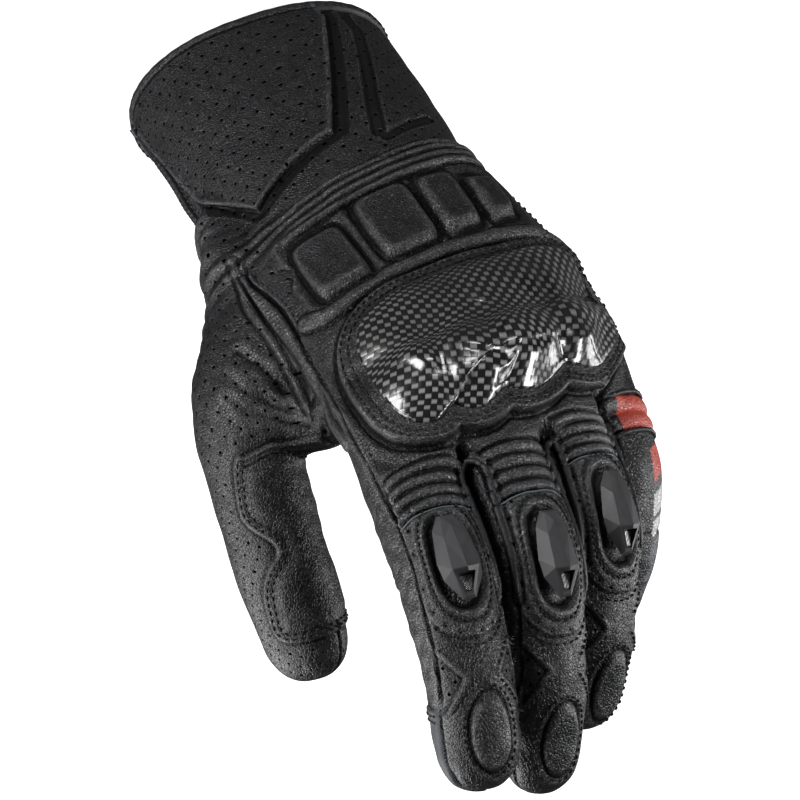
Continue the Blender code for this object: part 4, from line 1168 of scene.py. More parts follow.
def slider_panel(f):
    """The panel round the slider, laid over the next one, with its seat and punched ring."""

    def panel_end(across):
        return f.first + 20.5 - 10.5 * np.clip(abs(across) / 12.6, 0, 1.2) ** 2.4

    edge = f.along - panel_end(f.across)
    on = f.on_top & (f.along > FINGERS[f.name]["ribs"][1] + 0.6)
    f.relief += 0.6 * fall(edge, -0.35, 0.25) * on * rise(f.seam - f.aside, 0, 1.0)
    f.wear_and_sheen += 0.25 * bell(edge + 0.7, 0.5) * on
    across = np.linspace(-11.0, 11.0, 60)
    sew(f.line(panel_end(across) + 2.3, across, 0.5), 2.2)

    centre, half_along, half_across, power = f.first + 1.1, 15.2, 8.2 * f.scale, 2.3
    reach = (abs(f.along - centre) / half_along) ** power + (f.aside / half_across) ** power
    seat = (reach ** (1 / power) - 1) * half_across
    f.relief += 0.45 * fall(seat, 0.2, 3.4) - 0.4 * bell(seat, 0.4) + 0.2 * bell(seat + 1.1, 0.5)
    f.relief -= 2.2 * fall(seat, -2.5, -1.2)
    along, across = superellipse(np.linspace(0, 2 * np.pi, 97), half_along, half_across, power)
    sew(f.line(centre + along, across, 0.8), 1.9)

    angles = np.linspace(0, 2 * np.pi, 18)[:-1] + 0.1
    along, across = superellipse(angles, 18.3, 10.9 * f.scale, power)
    kept = along > -16.5
    along, across = centre + along[kept], across[kept]
    HOLES.append((f.line(along, across, 0.6), 0.55))
    for hole_along, hole_across in zip(along, across):
        square = (f.along - hole_along) ** 2 + (f.across - hole_across) ** 2
        f.relief -= 0.35 * np.exp(-(square / 0.5))


def gussets(f):
    """The little set-in gussets either side of the last joint."""
    start, scale = f.first + 22.5, f.scale
    for side in (-1, 1):
        near, inner, far = (np.array([start + along, side * across * scale])
                            for along, across in ((0, 12.6), (6.5, 5.2), (14.5, 13.6)))
        outline = [near, inner, far, (start + 7, side * 15 * scale)]
        edge = line_distance(f.along, f.across, outline, closed=True)
        limit = f.aside < f.seam + 0.3
        f.relief -= 0.6 * fall(edge, -0.3, 0.5) * limit
        f.relief += 0.3 * bell(edge - 1.0, 0.7) * limit
        for a, b in ((near, inner), (inner, far)):
            along = unit(b - a)
            out = np.array([-along[1], along[0]])
            if out[1] * side > 0:
                out = -out
            points = resample(np.array([a + out * 1.7, b + out * 1.7]), 0.5)
            sew(f.line(points[:, 0], points[:, 1], 0.4, radius=12.3), 2.0)
        along = start + np.array([3.4, 6.8, 9.4])
        across = side * np.array([11.4, 8.2, 11.2]) * scale
        HOLES.append((f.line(along, across, 0.2, radius=12.3), 0.5))


def tip_pad(f):
    """The padded oval on the fingertip's back."""
    centre, half_along, half_across = f.last + 15.5, 10.8, 5.6 * f.scale
    reach = ((f.along - centre) / half_along) ** 2 + (f.across / half_across) ** 2
    edge = (np.sqrt(reach + 1e-9) - 1) * half_across
    f.relief += 1.1 * fall(edge, -1.3, 0.0) - 0.4 * bell(edge - 0.3, 0.3)
    f.relief += 0.15 * bell(edge - 1.2, 0.5)
    angles = np.linspace(0, 2 * np.pi, 81)
    along = centre + (half_along + 1.9) * np.cos(angles)
    sew(f.line(along, (half_across + 1.9) * np.sin(angles), 0.3, radius=11.6), 2.1)


def printed_bars(f):
    """Slanting bars on the little finger's side, and a groove across its back."""
    slant = f.along + 0.35 * (f.across - 3)
    side = (f.across > 2.0) & (f.across < 15)
    bars = ((34.5, 41.0, RED), (43.5, 50.0, WHITE), (51.5, 56.0, WHITE),
            (57.5, 63.0, SLATE), (64.2, 68.0, SLATE), (69.2, 72.0, SLATE))
    for start, end, colour in bars:
        paint[f.points[(slant > start) & (slant < end) & side]] = colour
    f.relief -= 0.5 * bell(f.along - (f.first + 17), 0.5) * f.on_top


def touch_patch(f):
    """The touch cloth on the side and underside of the index fingertip."""
    start = f.last + 8.5
    along, angle = f.along - start, np.degrees(f.angle)
    paint[f.points[(angle > 172) & (angle < 266) & (along > 0)]] = TOUCH
    share = plateau(angle, 172, 176, 262, 268)
    f.relief += share * (0.45 * rise(along, -0.3, 0.3) * (f.aside > f.seam)
                         + 0.25 * bell(along - 0.6, 0.5))
    angles = np.radians(np.linspace(174, 262, 40))
    for inset in (1.6, 3.4):
        sew(digit_point("index", np.full(40, start + inset), angles, 0.6), 2.0)


for i, name in enumerate(FINGERS):
    finger = Finger(i, name)
    root_ribs(finger)
    seams_and_creases(finger)
    if finger.little:
        printed_bars(finger)
    else:
        slider_panel(finger)
        gussets(finger)
        tip_pad(finger)
    if name == "index":
        touch_patch(finger)
    finger.lay()

# the rolled welt that arches over each web and runs down both neighbours' sides
for name, neighbour in zip(DIGITS[:3], DIGITS[1:4]):
    legs = []
    for digit, side in ((name, 1), (neighbour, -1)):
        along = np.linspace(FINGERS[name]["web"] + 1.5, LINES[digit].joints[1] + 12, 30)
        angle = np.pi / 2 - side * np.interp(along, [20, 44, 80], [0.80, 0.93, 1.05])
        legs.append(digit_point(digit, along, angle, 0.9))
    top = (legs[0][0] + legs[1][0]) / 2 + np.array([0.0, 5.0, 2.2])
    shoulders = [leg[0] * 0.62 + top * 0.38 + np.array([0, 1.6, 0.8]) for leg in legs]
    arch = [shoulders[0], top, shoulders[1]]
    welt = spline(np.vstack([legs[0][::-1][::3], arch, legs[1][::3]]))
    distance = path_distance(welt, 4)
    relief += 0.75 * np.sqrt(np.clip(1 - (distance / 1.7) ** 2, 0, 1))
    relief -= 0.5 * bell(distance - 2.1, 0.5)
    wear_and_sheen += 0.4 * bell(distance, 0.8)
    SEWN.append((welt, "welt", 0.95))

# nothing may stick out beyond the rolled edge at the rim
relief *= rise(from_rim, -0.5, 3.0)
skin += normals * relief[:, None]
normals = vertex_normals(skin, quads)
# creases are positive and ridges negative, at two scales; the leather paints shade into the creases and
# highlights onto the ridges
near_mean = smoothed(skin, 3)
wide_mean = smoothed(near_mean, 13)
hollow = (((near_mean - skin) * normals).sum(1) / 0.10
          + ((wide_mean - skin) * normals).sum(1) / 0.55)
hollow = smoothed(hollow[:, None], 1)[:, 0]
hollow -= np.median(hollow)
# the pits at the webs get less painted shade and highlight
hollow *= web_calm

# ------------------------------------------------------------------ threads and trim

THREAD_SLOT, HOLE_SLOT, CORD_SLOT, ROLL_SLOT = 1, 2, 3, 4
skin_tree = BVHTree.FromPolygons(skin.tolist(), quads.tolist())


def grid_faces(rows, columns, wrap_columns=False, wrap_rows=False, base=0):
    i, j = np.meshgrid(np.arange(rows if wrap_rows else rows - 1),
                       np.arange(columns if wrap_columns else columns - 1), indexing="ij")
    next_i, next_j = (i + 1) % rows, (j + 1) % columns
    corners = [i * columns + j, i * columns + next_j,
               next_i * columns + next_j, next_i * columns + j]
    return np.stack(corners, -1).reshape(-1, 4) + base


def snap(points):
    """Each point moved to the skin, if the skin is near."""
    out = []
    for point in points:
        place = skin_tree.find_nearest(Vector(point), 12.0)[0]
        out.append(point if place is None else place)
    return np.array(out, float)


def skin_normals(points):
    out = []
    for point in points:
        face = skin_tree.find_nearest(Vector(point), 12.0)[2]
        out.append((0, 0, 1) if face is None else normals[quads[face]].mean(0))
    return unit_rows(np.array(out, float))


class Trim:
    """Small parts gathered into one mesh, each vertex tied to a point of the skin."""

    def __init__(self):
        self.points, self.faces, self.slots, self.anchors, self.shares = [], [], [], [], []
        self.count = 0

    def add(self, points, faces, slot, anchors):
        """The points are shared out evenly, in order, among the anchors."""
        self.points.append(points)
        self.faces.append(faces + self.count)
        self.slots.append(np.full(len(faces), slot))
        self.anchors.append(anchors)
        self.shares.append(np.full(len(anchors), len(points) // len(anchors)))
        self.count += len(points)

    def tube(self, path, outward, radius, slot, sink, sides=6):
        """A tube sunk into the skin by sink of its radius."""
        across = unit_rows(np.cross(unit_rows(np.gradient(path, axis=0)), outward))
        angle = np.arange(sides) / sides * 2 * np.pi
        radius = np.broadcast_to(np.asarray(radius, float), (len(path),))[:, None]
        up = (radius * (np.sin(angle)[None] + (1 - sink)))[..., None]
        side = (radius * np.cos(angle)[None])[..., None]
        rings = path[:, None] + outward[:, None] * up + across[:, None] * side
        faces = grid_faces(len(path), sides, wrap_columns=True)
        self.add(rings.reshape(-1, 3), faces, slot, path)

    def stitches(self, path, outward, spacing, dips, radii):
        """A row of stitches. dips and radii are at five points along each."""
        lengths = run_length(path)
        for k in range(int(lengths[-1] / spacing)):
            middle = (k + 0.5) * spacing
            at = np.linspace(middle - spacing * 0.33, middle + spacing * 0.33, 5)
            up = unit_rows(sample(outward, lengths, at))
            points = sample(path, lengths, at) - up * np.array(dips)[:, None]
            self.tube(points, up, radii, THREAD_SLOT, sink=0.35)

    def hole(self, centre, radius):
        """A disc on the skin, painted dark as the shade inside the hole."""
        out = skin_normals(centre[None])[0]
        side = unit(np.cross(out, [0.3, 0.9, 0.1]))
        other = np.cross(out, side)
        angle = (np.arange(8) / 8 * 2 * np.pi)[:, None]
        spoke = np.cos(angle) * side + np.sin(angle) * other
        points = np.vstack([centre + radius * spoke + out * 0.05,
                            centre + 0.45 * radius * spoke + out * 0.03])
        middle = [(8, 9, 10, 11), (8, 11, 12, 15), (12, 13, 14, 15)]
        faces = np.vstack([grid_faces(2, 8, wrap_columns=True), middle])
        self.add(points, faces, HOLE_SLOT, centre[None])


trim = Trim()
for path, kind, size in SEWN:
    path = snap(resample(np.asarray(path, float), 0.6))
    for _ in range(9 if kind == "welt" else 2):
        path[1:-1] = (path[:-2] + 2 * path[1:-1] + path[2:]) / 4
    outward = skin_normals(path)
    if kind == "stitch":
        trim.stitches(path, outward, size, dips=(0.16, -0.09, -0.08, -0.09, 0.16),
                      radii=(0.12, 0.28, 0.32, 0.28, 0.12))
    elif kind == "cord":
        trim.tube(path, outward, size, CORD_SLOT, sink=0.2)
    else:
        order = np.arange(len(path))
        sizes = np.ravel(size)
        radius = np.interp(np.linspace(0, 1, len(path)), np.linspace(0, 1, len(sizes)), sizes)
        if kind == "welt":
            radius = radius * rise(np.minimum(order, order[::-1]) / 8.0, -0.3, 1.0)
        radius = radius * (1 + 0.06 * np.sin(order * 2.1))
        sink = 0.4 if kind == "roll" else 0.75
        trim.tube(path, outward, radius, ROLL_SLOT, sink=sink, sides=10)
for points, radius in HOLES:
    for centre in snap(points):
        trim.hole(centre, radius)

# ------------------------------------------------------------------ cut into pieces

# each face goes to the digit that owns all of it, or else to the hand or the later digit
corner_owner = owner[quads]
face_owner = corner_owner[:, 0].copy()
mixed = (corner_owner != corner_owner[:, :1]).any(1)
on_hand = (corner_owner[mixed] == -1).any(1)
face_owner[mixed] = np.where(on_hand, -1, corner_owner[mixed].max(1))
face_level = np.where(corner_owner == face_owner[:, None], level[quads], 9).min(1)
face_level[face_level == 9] = 0
between_owners = np.zeros(COUNT, bool)
between_owners[np.unique(quads[mixed])] = True

# 0 is the cuff, 1 the hand, then 10 * (digit + 1) + level
piece_key = np.ones(len(quads), int)
piece_key[(face_owner == -1) & (skin[quads, 1].max(1) > -100)] = 0
of_digit = face_owner >= 0
piece_key[of_digit] = 10 * (face_owner[of_digit] + 1) + face_level[of_digit]

trim_points, trim_faces = np.vstack(trim.points), np.vstack(trim.faces)
trim_slots = np.concatenate(trim.slots)
anchor_faces = [skin_tree.find_nearest(Vector(anchor), 15.0)[2] or 0
                for anchor in np.vstack(trim.anchors)]
trim_skin_face = np.repeat(anchor_faces, np.concatenate(trim.shares))
trim_skin_point = quads[trim_skin_face, 0]
trim_piece = piece_key[trim_skin_face[trim_faces[:, 0]]]


def replaced_bodies(name):
    """The CAD bodies each of a digit's three pieces stands for."""
    if name == "thumb":
        return [["thumb_base_shell"], ["thumb_proximal_shell", "thumb_overlay"],
                ["thumb_distal_shell"]]
    tip = [name + "_distal_shell"]
    if name != "little":
        tip.append(name + "_tip_pad")
    if name == "index":
        tip.append("index_touch_patch")
    return [[name + "_proximal_shell", name + "_rib_panel"], [name + "_middle_shell"], tip]


# name, body, further body, how far it follows that one, CAD bodies replaced
PIECES = {
    0: ("cuff_skin", "cuff", "hand", to_hand, ["cuff_shell", "wrist_rib_band"]),
    1: ("hand_skin", "hand", None, None,
        ["hand_back_panel", "palm_panel", "back_pad_1", "back_pad_2", "back_pad_3",
         "back_pad_4", "knuckle_guard_bezel", "knuckle_guard_foam"]),
}
for i, name in enumerate(DIGITS):
    bodies = ["hand", name + "_1", name + "_2", name + "_3"]
    parts = zip(("root", "middle", "tip"), (to_first, to_second, to_third),
                replaced_bodies(name))
    for k, (part, follow, replaced) in enumerate(parts):
        PIECES[10 * (i + 1) + k] = (
            f"{name}_{part}_skin", bodies[k], bodies[k + 1], follow, replaced)


def put_attribute(mesh, name, kind, values):
    layer = mesh.attributes.get(name) or mesh.attributes.new(name, kind, "POINT")
    field = "vector" if kind == "FLOAT_VECTOR" else "value"
    layer.data.foreach_set(field, np.asarray(values, np.float32).ravel())


def winds_inward():
    """Whether the skin's quads wind inwards in the object's frame."""
    first = quads[:4000]
    a, b, c = (world(skin[first[:, k]]) for k in range(3))
    outward = normals[first[:, 0]] @ FRAME.T
    return bool((np.cross(b - a, c - a) * outward).sum() < 0)


FLIP = winds_inward()


def build_piece(key, materials):
    name, body, further, follow, replaced = PIECES[key]
    ids, faces = compact(quads[piece_key == key])
    trim_here = trim_piece == key
    trim_ids, sewn_faces = compact(trim_faces[trim_here])
    faces = np.vstack([faces, sewn_faces + len(ids)])
    slots = np.concatenate([np.zeros(len(faces) - len(sewn_faces), int), trim_slots[trim_here]])
    points = np.vstack([skin[ids], trim_points[trim_ids]])

    def padded(values):
        """The skin's values, with zeros for the trim."""
        return np.concatenate([values[ids], np.zeros((len(trim_ids), *values.shape[1:]))])

    mesh = glove_mesh(name, points, faces[:, ::-1] if FLIP else faces)
    # validation may have dropped a broken face, and then the slots no longer match
    if len(mesh.polygons) == len(slots):
        mesh.polygons.foreach_set("material_index", slots.astype(np.int32))
    colours = padded(paint)
    put_attribute(mesh, "rest", "FLOAT_VECTOR", points)
    put_attribute(mesh, "perf", "FLOAT_VECTOR", padded(punch))
    for layer, group in (("paint_a", (RED, WHITE, SLATE)), ("paint_b", (TOUCH, GLOSS, SUEDE))):
        put_attribute(mesh, layer, "FLOAT_VECTOR", np.stack([colours == k for k in group], 1))
    put_attribute(mesh, "wear_sheen_tone", "FLOAT", padded(wear_and_sheen))
    put_attribute(mesh, "cav", "FLOAT", padded(hollow))
    # one smooth shading across the cuts
    mesh.normals_split_custom_set_from_vertices((padded(normals) @ FRAME.T).tolist())
    piece = link(name, mesh)
    for material in materials:
        mesh.materials.append(material)
    if further:
        share = follow[ids]
        if key >= 10 and key % 10 == 0:
            share = np.where(between_owners[ids], 0.0, share)
        share = np.concatenate([share, follow[trim_skin_point[trim_ids]]])
        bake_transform(piece, body, further, start=(0, 0, 0), end=(0, 0, 0.1))
        put_attribute(mesh, "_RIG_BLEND", "FLOAT", np.clip(share, 0, 1))
    else:
        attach(piece, body)
    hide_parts(*replaced)


# ------------------------------------------------------------------ materials


class Value:
    """A node's output, which adds and multiplies like a number by making math nodes."""

    def __init__(self, owner, socket):
        self.owner, self.socket = owner, socket

    def __add__(self, other):
        return self.owner.math("ADD", self, other)

    def __sub__(self, other):
        return self.owner.math("SUBTRACT", self, other)

    def __rsub__(self, other):
        return self.owner.math("SUBTRACT", other, self)

    def __mul__(self, other):
        return self.owner.math("MULTIPLY", self, other)

    def __truediv__(self, other):
        return self.owner.math("DIVIDE", self, other)


class Material:
    """A material and short ways to add its nodes. Lengths in textures are millimetres."""

    def __init__(self, name):
        self.data = bpy.data.materials.new(name)
        self.data.use_nodes = True
        self.tree = self.data.node_tree
        self.shader = self.tree.nodes["Principled BSDF"]

    def node(self, kind, **settings):
        node = self.tree.nodes.new(kind)
        for key, value in settings.items():
            setattr(node, key, value)
        return node

    def output(self, node, key=0):
        return Value(self, node.outputs[key])

    def wire(self, source, target):
        if isinstance(source, Value):
            self.tree.links.new(source.socket, target)
        elif isinstance(source, tuple) and len(source) == 3 and target.type != "VECTOR":
            target.default_value = (*source, 1.0)
        else:
            target.default_value = source

    def attribute(self, name, output="Vector"):
        node = self.node("ShaderNodeAttribute", attribute_name=name, attribute_type="GEOMETRY")
        return self.output(node, output)

    def math(self, operation, a, b=0.0, clamp=False):
        node = self.node("ShaderNodeMath", operation=operation, use_clamp=clamp)
        for socket, value in zip(node.inputs, (a, b, 0.0)):
            self.wire(value, socket)
        return self.output(node)

    def vector(self, operation, a, b=(0.0, 0.0, 0.0)):
        node = self.node("ShaderNodeVectorMath", operation=operation)
        self.wire(a, node.inputs[0])
        self.wire(b, node.inputs[1])
        return self.output(node, "Value" if operation == "LENGTH" else 0)

    def scaled(self, vector, factor):
        node = self.node("ShaderNodeVectorMath", operation="SCALE")
        self.wire(vector, node.inputs[0])
        node.inputs["Scale"].default_value = factor
        return self.output(node)

    def split(self, vector):
        node = self.node("ShaderNodeSeparateXYZ")
        self.wire(vector, node.inputs[0])
        return [self.output(node, k) for k in range(3)]

    def noise(self, vector, scale, detail=3.0, roughness=0.55, output="Fac"):
        node = self.node("ShaderNodeTexNoise")
        self.wire(vector, node.inputs["Vector"])
        node.inputs["Scale"].default_value = scale
        node.inputs["Detail"].default_value = detail
        node.inputs["Roughness"].default_value = roughness
        return self.output(node, output)

    def voronoi(self, vector, scale, feature="F1"):
        node = self.node("ShaderNodeTexVoronoi", feature=feature)
        self.wire(vector, node.inputs["Vector"])
        node.inputs["Scale"].default_value = scale
        node.inputs["Randomness"].default_value = 1.0
        return self.output(node, "Distance")

    def ramp(self, value, start, end, low=0.0, high=1.0):
        """A smooth step from low at start to high at end."""
        node = self.node("ShaderNodeMapRange", interpolation_type="SMOOTHSTEP")
        self.wire(value, node.inputs["Value"])
        for key, number in zip(("From Min", "From Max", "To Min", "To Max"),
                               (start, end, low, high)):
            node.inputs[key].default_value = number
        return self.output(node)

    def mix(self, factor, a, b):
        """A mix of two colours."""
        node = self.node("ShaderNodeMix", data_type="RGBA")
        self.wire(factor, node.inputs["Factor"])
        self.wire(a, node.inputs[6])
        self.wire(b, node.inputs[7])
        return self.output(node, 2)

    def mix_number(self, factor, a, b):
        node = self.node("ShaderNodeMix", data_type="FLOAT")
        self.wire(factor, node.inputs["Factor"])
        self.wire(a, node.inputs[2])
        self.wire(b, node.inputs[3])
        return self.output(node)

    def bump(self, height, strength=1.0, target="Normal"):
        node = self.node("ShaderNodeBump")
        node.inputs["Strength"].default_value = strength
        node.inputs["Distance"].default_value = 0.001
        self.wire(height, node.inputs["Height"])
        self.wire(self.output(node, "Normal"), self.shader.inputs[target])

    def rest(self):
        return self.attribute("rest")

    def object_mm(self):
        return self.scaled(self.output(self.node("ShaderNodeTexCoord"), "Object"), 1000.0)

    def set(self, **values):
        for key, value in values.items():
            self.wire(value, self.shader.inputs[key.replace("_", " ")])


def grain(m, place, size=0.95, depth=0.11, swell=0.48):
    """Pebbled leather: puffed cells parted by creases, over slower unevenness.

    Returns the height and the cell, slow and fine masks.
    """
    warp = m.scaled(m.noise(place, scale=0.55, detail=2.0, output="Color"), 0.9)
    edge = m.voronoi(m.vector("ADD", place, warp), 1.0 / size, "DISTANCE_TO_EDGE")
    cell = m.ramp(edge, 0.0, 0.22)
    fine = m.noise(place, scale=3.2, detail=2.0)
    slow = m.noise(place, scale=0.22, detail=4.0, roughness=0.6)
    return cell * depth + fine * 0.05 + slow * swell, cell, slow, fine


def punched_grid(m):
    """Masks of the punched holes and their lips, on a tilted, staggered grid."""
    pitch = 7.3
    tilt_cos, tilt_sin = 0.974, 0.225
    across, along, amount = m.split(m.attribute("perf"))
    grid = m.node("ShaderNodeCombineXYZ")
    m.wire(across * (tilt_cos / pitch) + along * (tilt_sin / pitch), grid.inputs[0])
    m.wire(along * (tilt_cos / pitch) - across * (tilt_sin / pitch), grid.inputs[1])
    distances = []
    for shift in ((0.0, 0.0, 0.0), (0.5, 0.5, 0.0)):
        cell = m.vector("FRACTION", m.vector("ADD", m.output(grid), shift))
        centred = m.vector("SUBTRACT", cell, (0.5, 0.5, 0.0))
        flat = m.vector("MULTIPLY", centred, (1.0, 1.0, 0.0))
        distances.append(m.vector("LENGTH", flat) * pitch)
    distance = m.math("MINIMUM", *distances)
    on = m.ramp(amount, 0.6, 0.95)
    hole = m.ramp(distance, 0.42, 0.62, low=1.0, high=0.0) * on
    lip = m.ramp(distance, 0.55, 1.15, low=1.0, high=0.0) * on
    return hole, lip


def glove_leather():
    m = Material("glove_leather")
    place = m.rest()
    height, cell, slow, fine = grain(m, place)
    wear_sheen_tone = m.attribute("wear_sheen_tone", "Fac")
    paint_a, paint_b = m.split(m.attribute("paint_a")), m.split(m.attribute("paint_b"))
    red, white, slate = (m.ramp(value, 0.35, 0.65) for value in paint_a)
    touch, gloss, suede = (m.ramp(value, 0.35, 0.65) for value in paint_b)
    hole, lip = punched_grid(m)
    cavity = m.attribute("cav", "Fac")
    crease_shade = m.ramp(cavity, 0.15, 1.3)
    ridge = m.ramp(cavity, -0.2, -1.3)
    glint_noise = m.noise(place, scale=1.15, detail=3.0, roughness=0.75)
    glint_fleck = m.ramp(glint_noise, 0.46, 0.62) * cell

    # colour, layer on layer: the hide, painted glints on its flecks, wear and painted highlights, and
    # painted shade in its creases
    base = m.mix(m.ramp(slow, 0.3, 0.72), (0.0052, 0.0052, 0.0062), (0.0120, 0.0120, 0.0140))
    base = m.mix((1.0 - cell) * 0.85, base, (0.0035, 0.0035, 0.004))
    # painted glints: pale flecks on the grain's cells
    base = m.mix(glint_fleck * 0.4, base, (0.045, 0.045, 0.047))
    # wear and painted highlights on raised edges and ridges, strongest on the glint flecks
    wear_and_highlight = m.math("ADD", wear_sheen_tone, ridge * 0.8, clamp=True)
    wear_and_highlight = m.math("MULTIPLY", wear_and_highlight, glint_fleck * 0.75 + 0.13, clamp=True)
    base = m.mix(wear_and_highlight, base, (0.150, 0.150, 0.156))
    # painted shade in the creases
    base = m.mix(crease_shade * 0.85, base, (0.0022, 0.0022, 0.0025))
    # the palm's suede, the glossy strips and the touch cloth
    base = m.mix(suede, base, m.mix(fine, (0.016, 0.016, 0.017), (0.032, 0.032, 0.033)))
    base = m.mix(gloss * 0.95, base, (0.0022, 0.0022, 0.0025))
    base = m.mix(touch, base, m.mix(fine, (0.030, 0.032, 0.039), (0.050, 0.053, 0.064)))
    # scuffed print in the creases' and the cells' colours
    scuffs = m.noise(place, scale=0.9, detail=5.0, roughness=0.7)
    scuff = m.ramp(scuffs, 0.35, 0.6, low=0.75, high=1.0)
    for mask, dark, light in (
        (red, (0.42, 0.050, 0.032), (0.66, 0.095, 0.060)),
        (white, (0.45, 0.45, 0.46), (0.80, 0.80, 0.80)),
        (slate, (0.045, 0.05, 0.065), (0.085, 0.092, 0.115)),
    ):
        base = m.mix(mask * scuff, base, m.mix(cell, dark, light))
    # painted shade inside the punched holes
    base = m.mix(hole, base, (0.0006, 0.0006, 0.0006))

    roughness = slow * 0.22 + 0.24 - wear_sheen_tone * 0.06
    for mask, value in ((suede, 0.86), (touch, 0.62), (gloss, 0.34), (hole, 1.0)):
        roughness = m.mix_number(mask, roughness, value)
    # gloss and touch cloth have a shallower grain; holes are sunk
    for mask, depth in ((gloss, 0.25), (touch, 0.4)):
        height = height * m.mix_number(mask, 1.0, depth)
    m.bump(height - hole * 0.5 - lip * 0.07)
    specular = m.mix_number(hole, 0.6, 0.0) * m.mix_number(crease_shade, 1.0, 0.3)
    m.set(Base_Color=base, Roughness=roughness, Specular_IOR_Level=specular)
    return m.data


def plain_leather(name, dark, light, roughness=0.42, size=0.9, depth=0.05):
    m = Material(name)
    height, cell, slow, fine = grain(m, m.rest(), size, depth, swell=0.24)
    base = m.mix(m.ramp(slow, 0.3, 0.7), dark, light)
    base = m.mix((1.0 - cell) * 0.6, base, tuple(part * 0.4 for part in dark))
    m.bump(height)
    m.set(Base_Color=base, Roughness=fine * 0.2 + (roughness - 0.1), Specular_IOR_Level=0.42)
    return m.data


def thread(name, dark, light):
    m = Material(name)
    wave = m.node("ShaderNodeTexWave", wave_type="BANDS", bands_direction="DIAGONAL")
    m.wire(m.rest(), wave.inputs["Vector"])
    wave.inputs["Scale"].default_value = 0.9
    wave.inputs["Distortion"].default_value = 1.5
    twist = m.output(wave, "Fac")
    m.set(Base_Color=m.mix(twist, dark, light), Roughness=0.5, Specular_IOR_Level=0.4)
    m.bump(twist * 0.06)
    return m.data


def hole_shade():
    m = Material("hole_shade")
    shade = m.noise(m.rest(), scale=2.0)
    # painted shade: near black for the inside of a hole
    base = m.mix(shade, (0.0005, 0.0005, 0.0005), (0.0015, 0.0015, 0.0015))
    m.set(Base_Color=base, Roughness=1.0, Specular_IOR_Level=0.0)
    return m.data


def woven_carbon():
    m = Material("woven_carbon")
    place = m.attribute("weave")
    u, q, _ = m.split(place)
    tow_width, slant = 1.6, 0.35
    a = (u + q * slant) / tow_width
    b = (q - u * slant) / tow_width
    part_a, part_b = m.math("FRACT", a), m.math("FRACT", b)
    cells = m.math("FLOOR", a) + m.math("FLOOR", b)
    over = m.math("GREATER_THAN", m.math("FLOORED_MODULO", cells, 2.0), 0.5)
    round_a = m.math("SINE", part_a * math.pi)
    round_b = m.math("SINE", part_b * math.pi)
    tow = m.mix_number(over, round_a, round_b)
    along = m.mix_number(over, part_b, part_a)
    stretched = m.vector("MULTIPLY", place, (6.0, 6.0, 1.0))
    fibre = m.noise(stretched, scale=1.6, detail=2.0)

    # painted sheen: the tows running one way are painted pale and the others dark, each brightest on its
    # crown, and the pale ones paler towards the fingers as painted light on the lumps' lower faces
    tow_sheen = m.mix(m.ramp(q, 73.0, 79.0), (0.33, 0.323, 0.312), (0.62, 0.61, 0.60))
    light = m.mix(tow * fibre, (0.010, 0.010, 0.011), tow_sheen)
    dark = m.mix(tow * fibre, (0.002, 0.002, 0.0024), (0.010, 0.010, 0.011))
    inner_a, inner_b = (
        m.math("MINIMUM", m.ramp(part, 0.0, 0.12), m.ramp(part, 0.88, 1.0, low=1.0, high=0.0))
        for part in (part_a, part_b))
    shade = m.noise(place, scale=0.045, detail=3.0)
    shaded = m.mix(m.ramp(shade, 0.25, 0.6, low=0.25, high=1.0), dark, light)
    # the pale over-tows against the dark under-tows are painted sheen, not two colours of fibre
    base = m.mix(over, dark, shaded)
    base = m.mix(1.0 - inner_a * inner_b, base, (0.002, 0.002, 0.002))
    m.set(Base_Color=base, Roughness=0.45, Specular_IOR_Level=0.12, Coat_Weight=1.0,
          Coat_Roughness=fibre * 0.08 + 0.13, Coat_IOR=1.85)
    # the second factor tips each tow along its length; at zero it lies level
    m.bump(tow * 0.10 + along * 0.0, strength=0.6)
    ripple = m.noise(place, scale=0.18, detail=2.0) * 0.5 + tow * 0.35
    m.bump(ripple, strength=0.08, target="Coat Normal")
    return m.data


def slider_plastic():
    m = Material("slider_plastic")
    place = m.object_mm()
    fine = m.noise(place, scale=5.0, detail=3.0)
    slow = m.noise(place, scale=0.35, detail=4.0, roughness=0.65)
    stretched = m.vector("MULTIPLY", place, (2.4, 1.0, 0.25))
    scratch = m.ramp(m.noise(stretched, scale=1.4, detail=4.0, roughness=0.7), 0.6, 0.75)
    base = m.mix(m.ramp(slow, 0.3, 0.7), (0.015, 0.015, 0.0165), (0.024, 0.024, 0.026))
    base = m.mix(scratch * 0.3, base, (0.11, 0.11, 0.115))
    pointed = m.output(m.node("ShaderNodeNewGeometry"), "Pointiness")
    base = m.mix(m.ramp(pointed, 0.52, 0.60) * 0.4, base, (0.10, 0.10, 0.105))
    m.set(Base_Color=base, Roughness=slow * 0.2 + 0.34, Specular_IOR_Level=0.45)
    m.bump(fine * 0.03)
    return m.data


def steel_mesh():
    m = Material("woven_steel_mesh")
    x, _, z = m.split(m.object_mm())
    fine_pitch, coarse_pitch = 0.62, 1.1
    fine = m.math("SINE", (x + z) * (2 * math.pi / fine_pitch))
    coarse = m.math("SINE", (x - z) * (2 * math.pi / coarse_pitch))
    wire = m.ramp(fine, -0.3, 0.5) * m.ramp(coarse, -0.6, 0.6, low=0.5, high=1.0)
    # painted shade: the gaps between the wires are near black, for the shade behind the mesh
    base = m.mix(wire, (0.01, 0.01, 0.01), (0.85, 0.85, 0.86))
    m.set(Base_Color=base, Metallic=wire * 0.7, Roughness=0.28)
    m.bump(wire * 0.3)
    return m.data


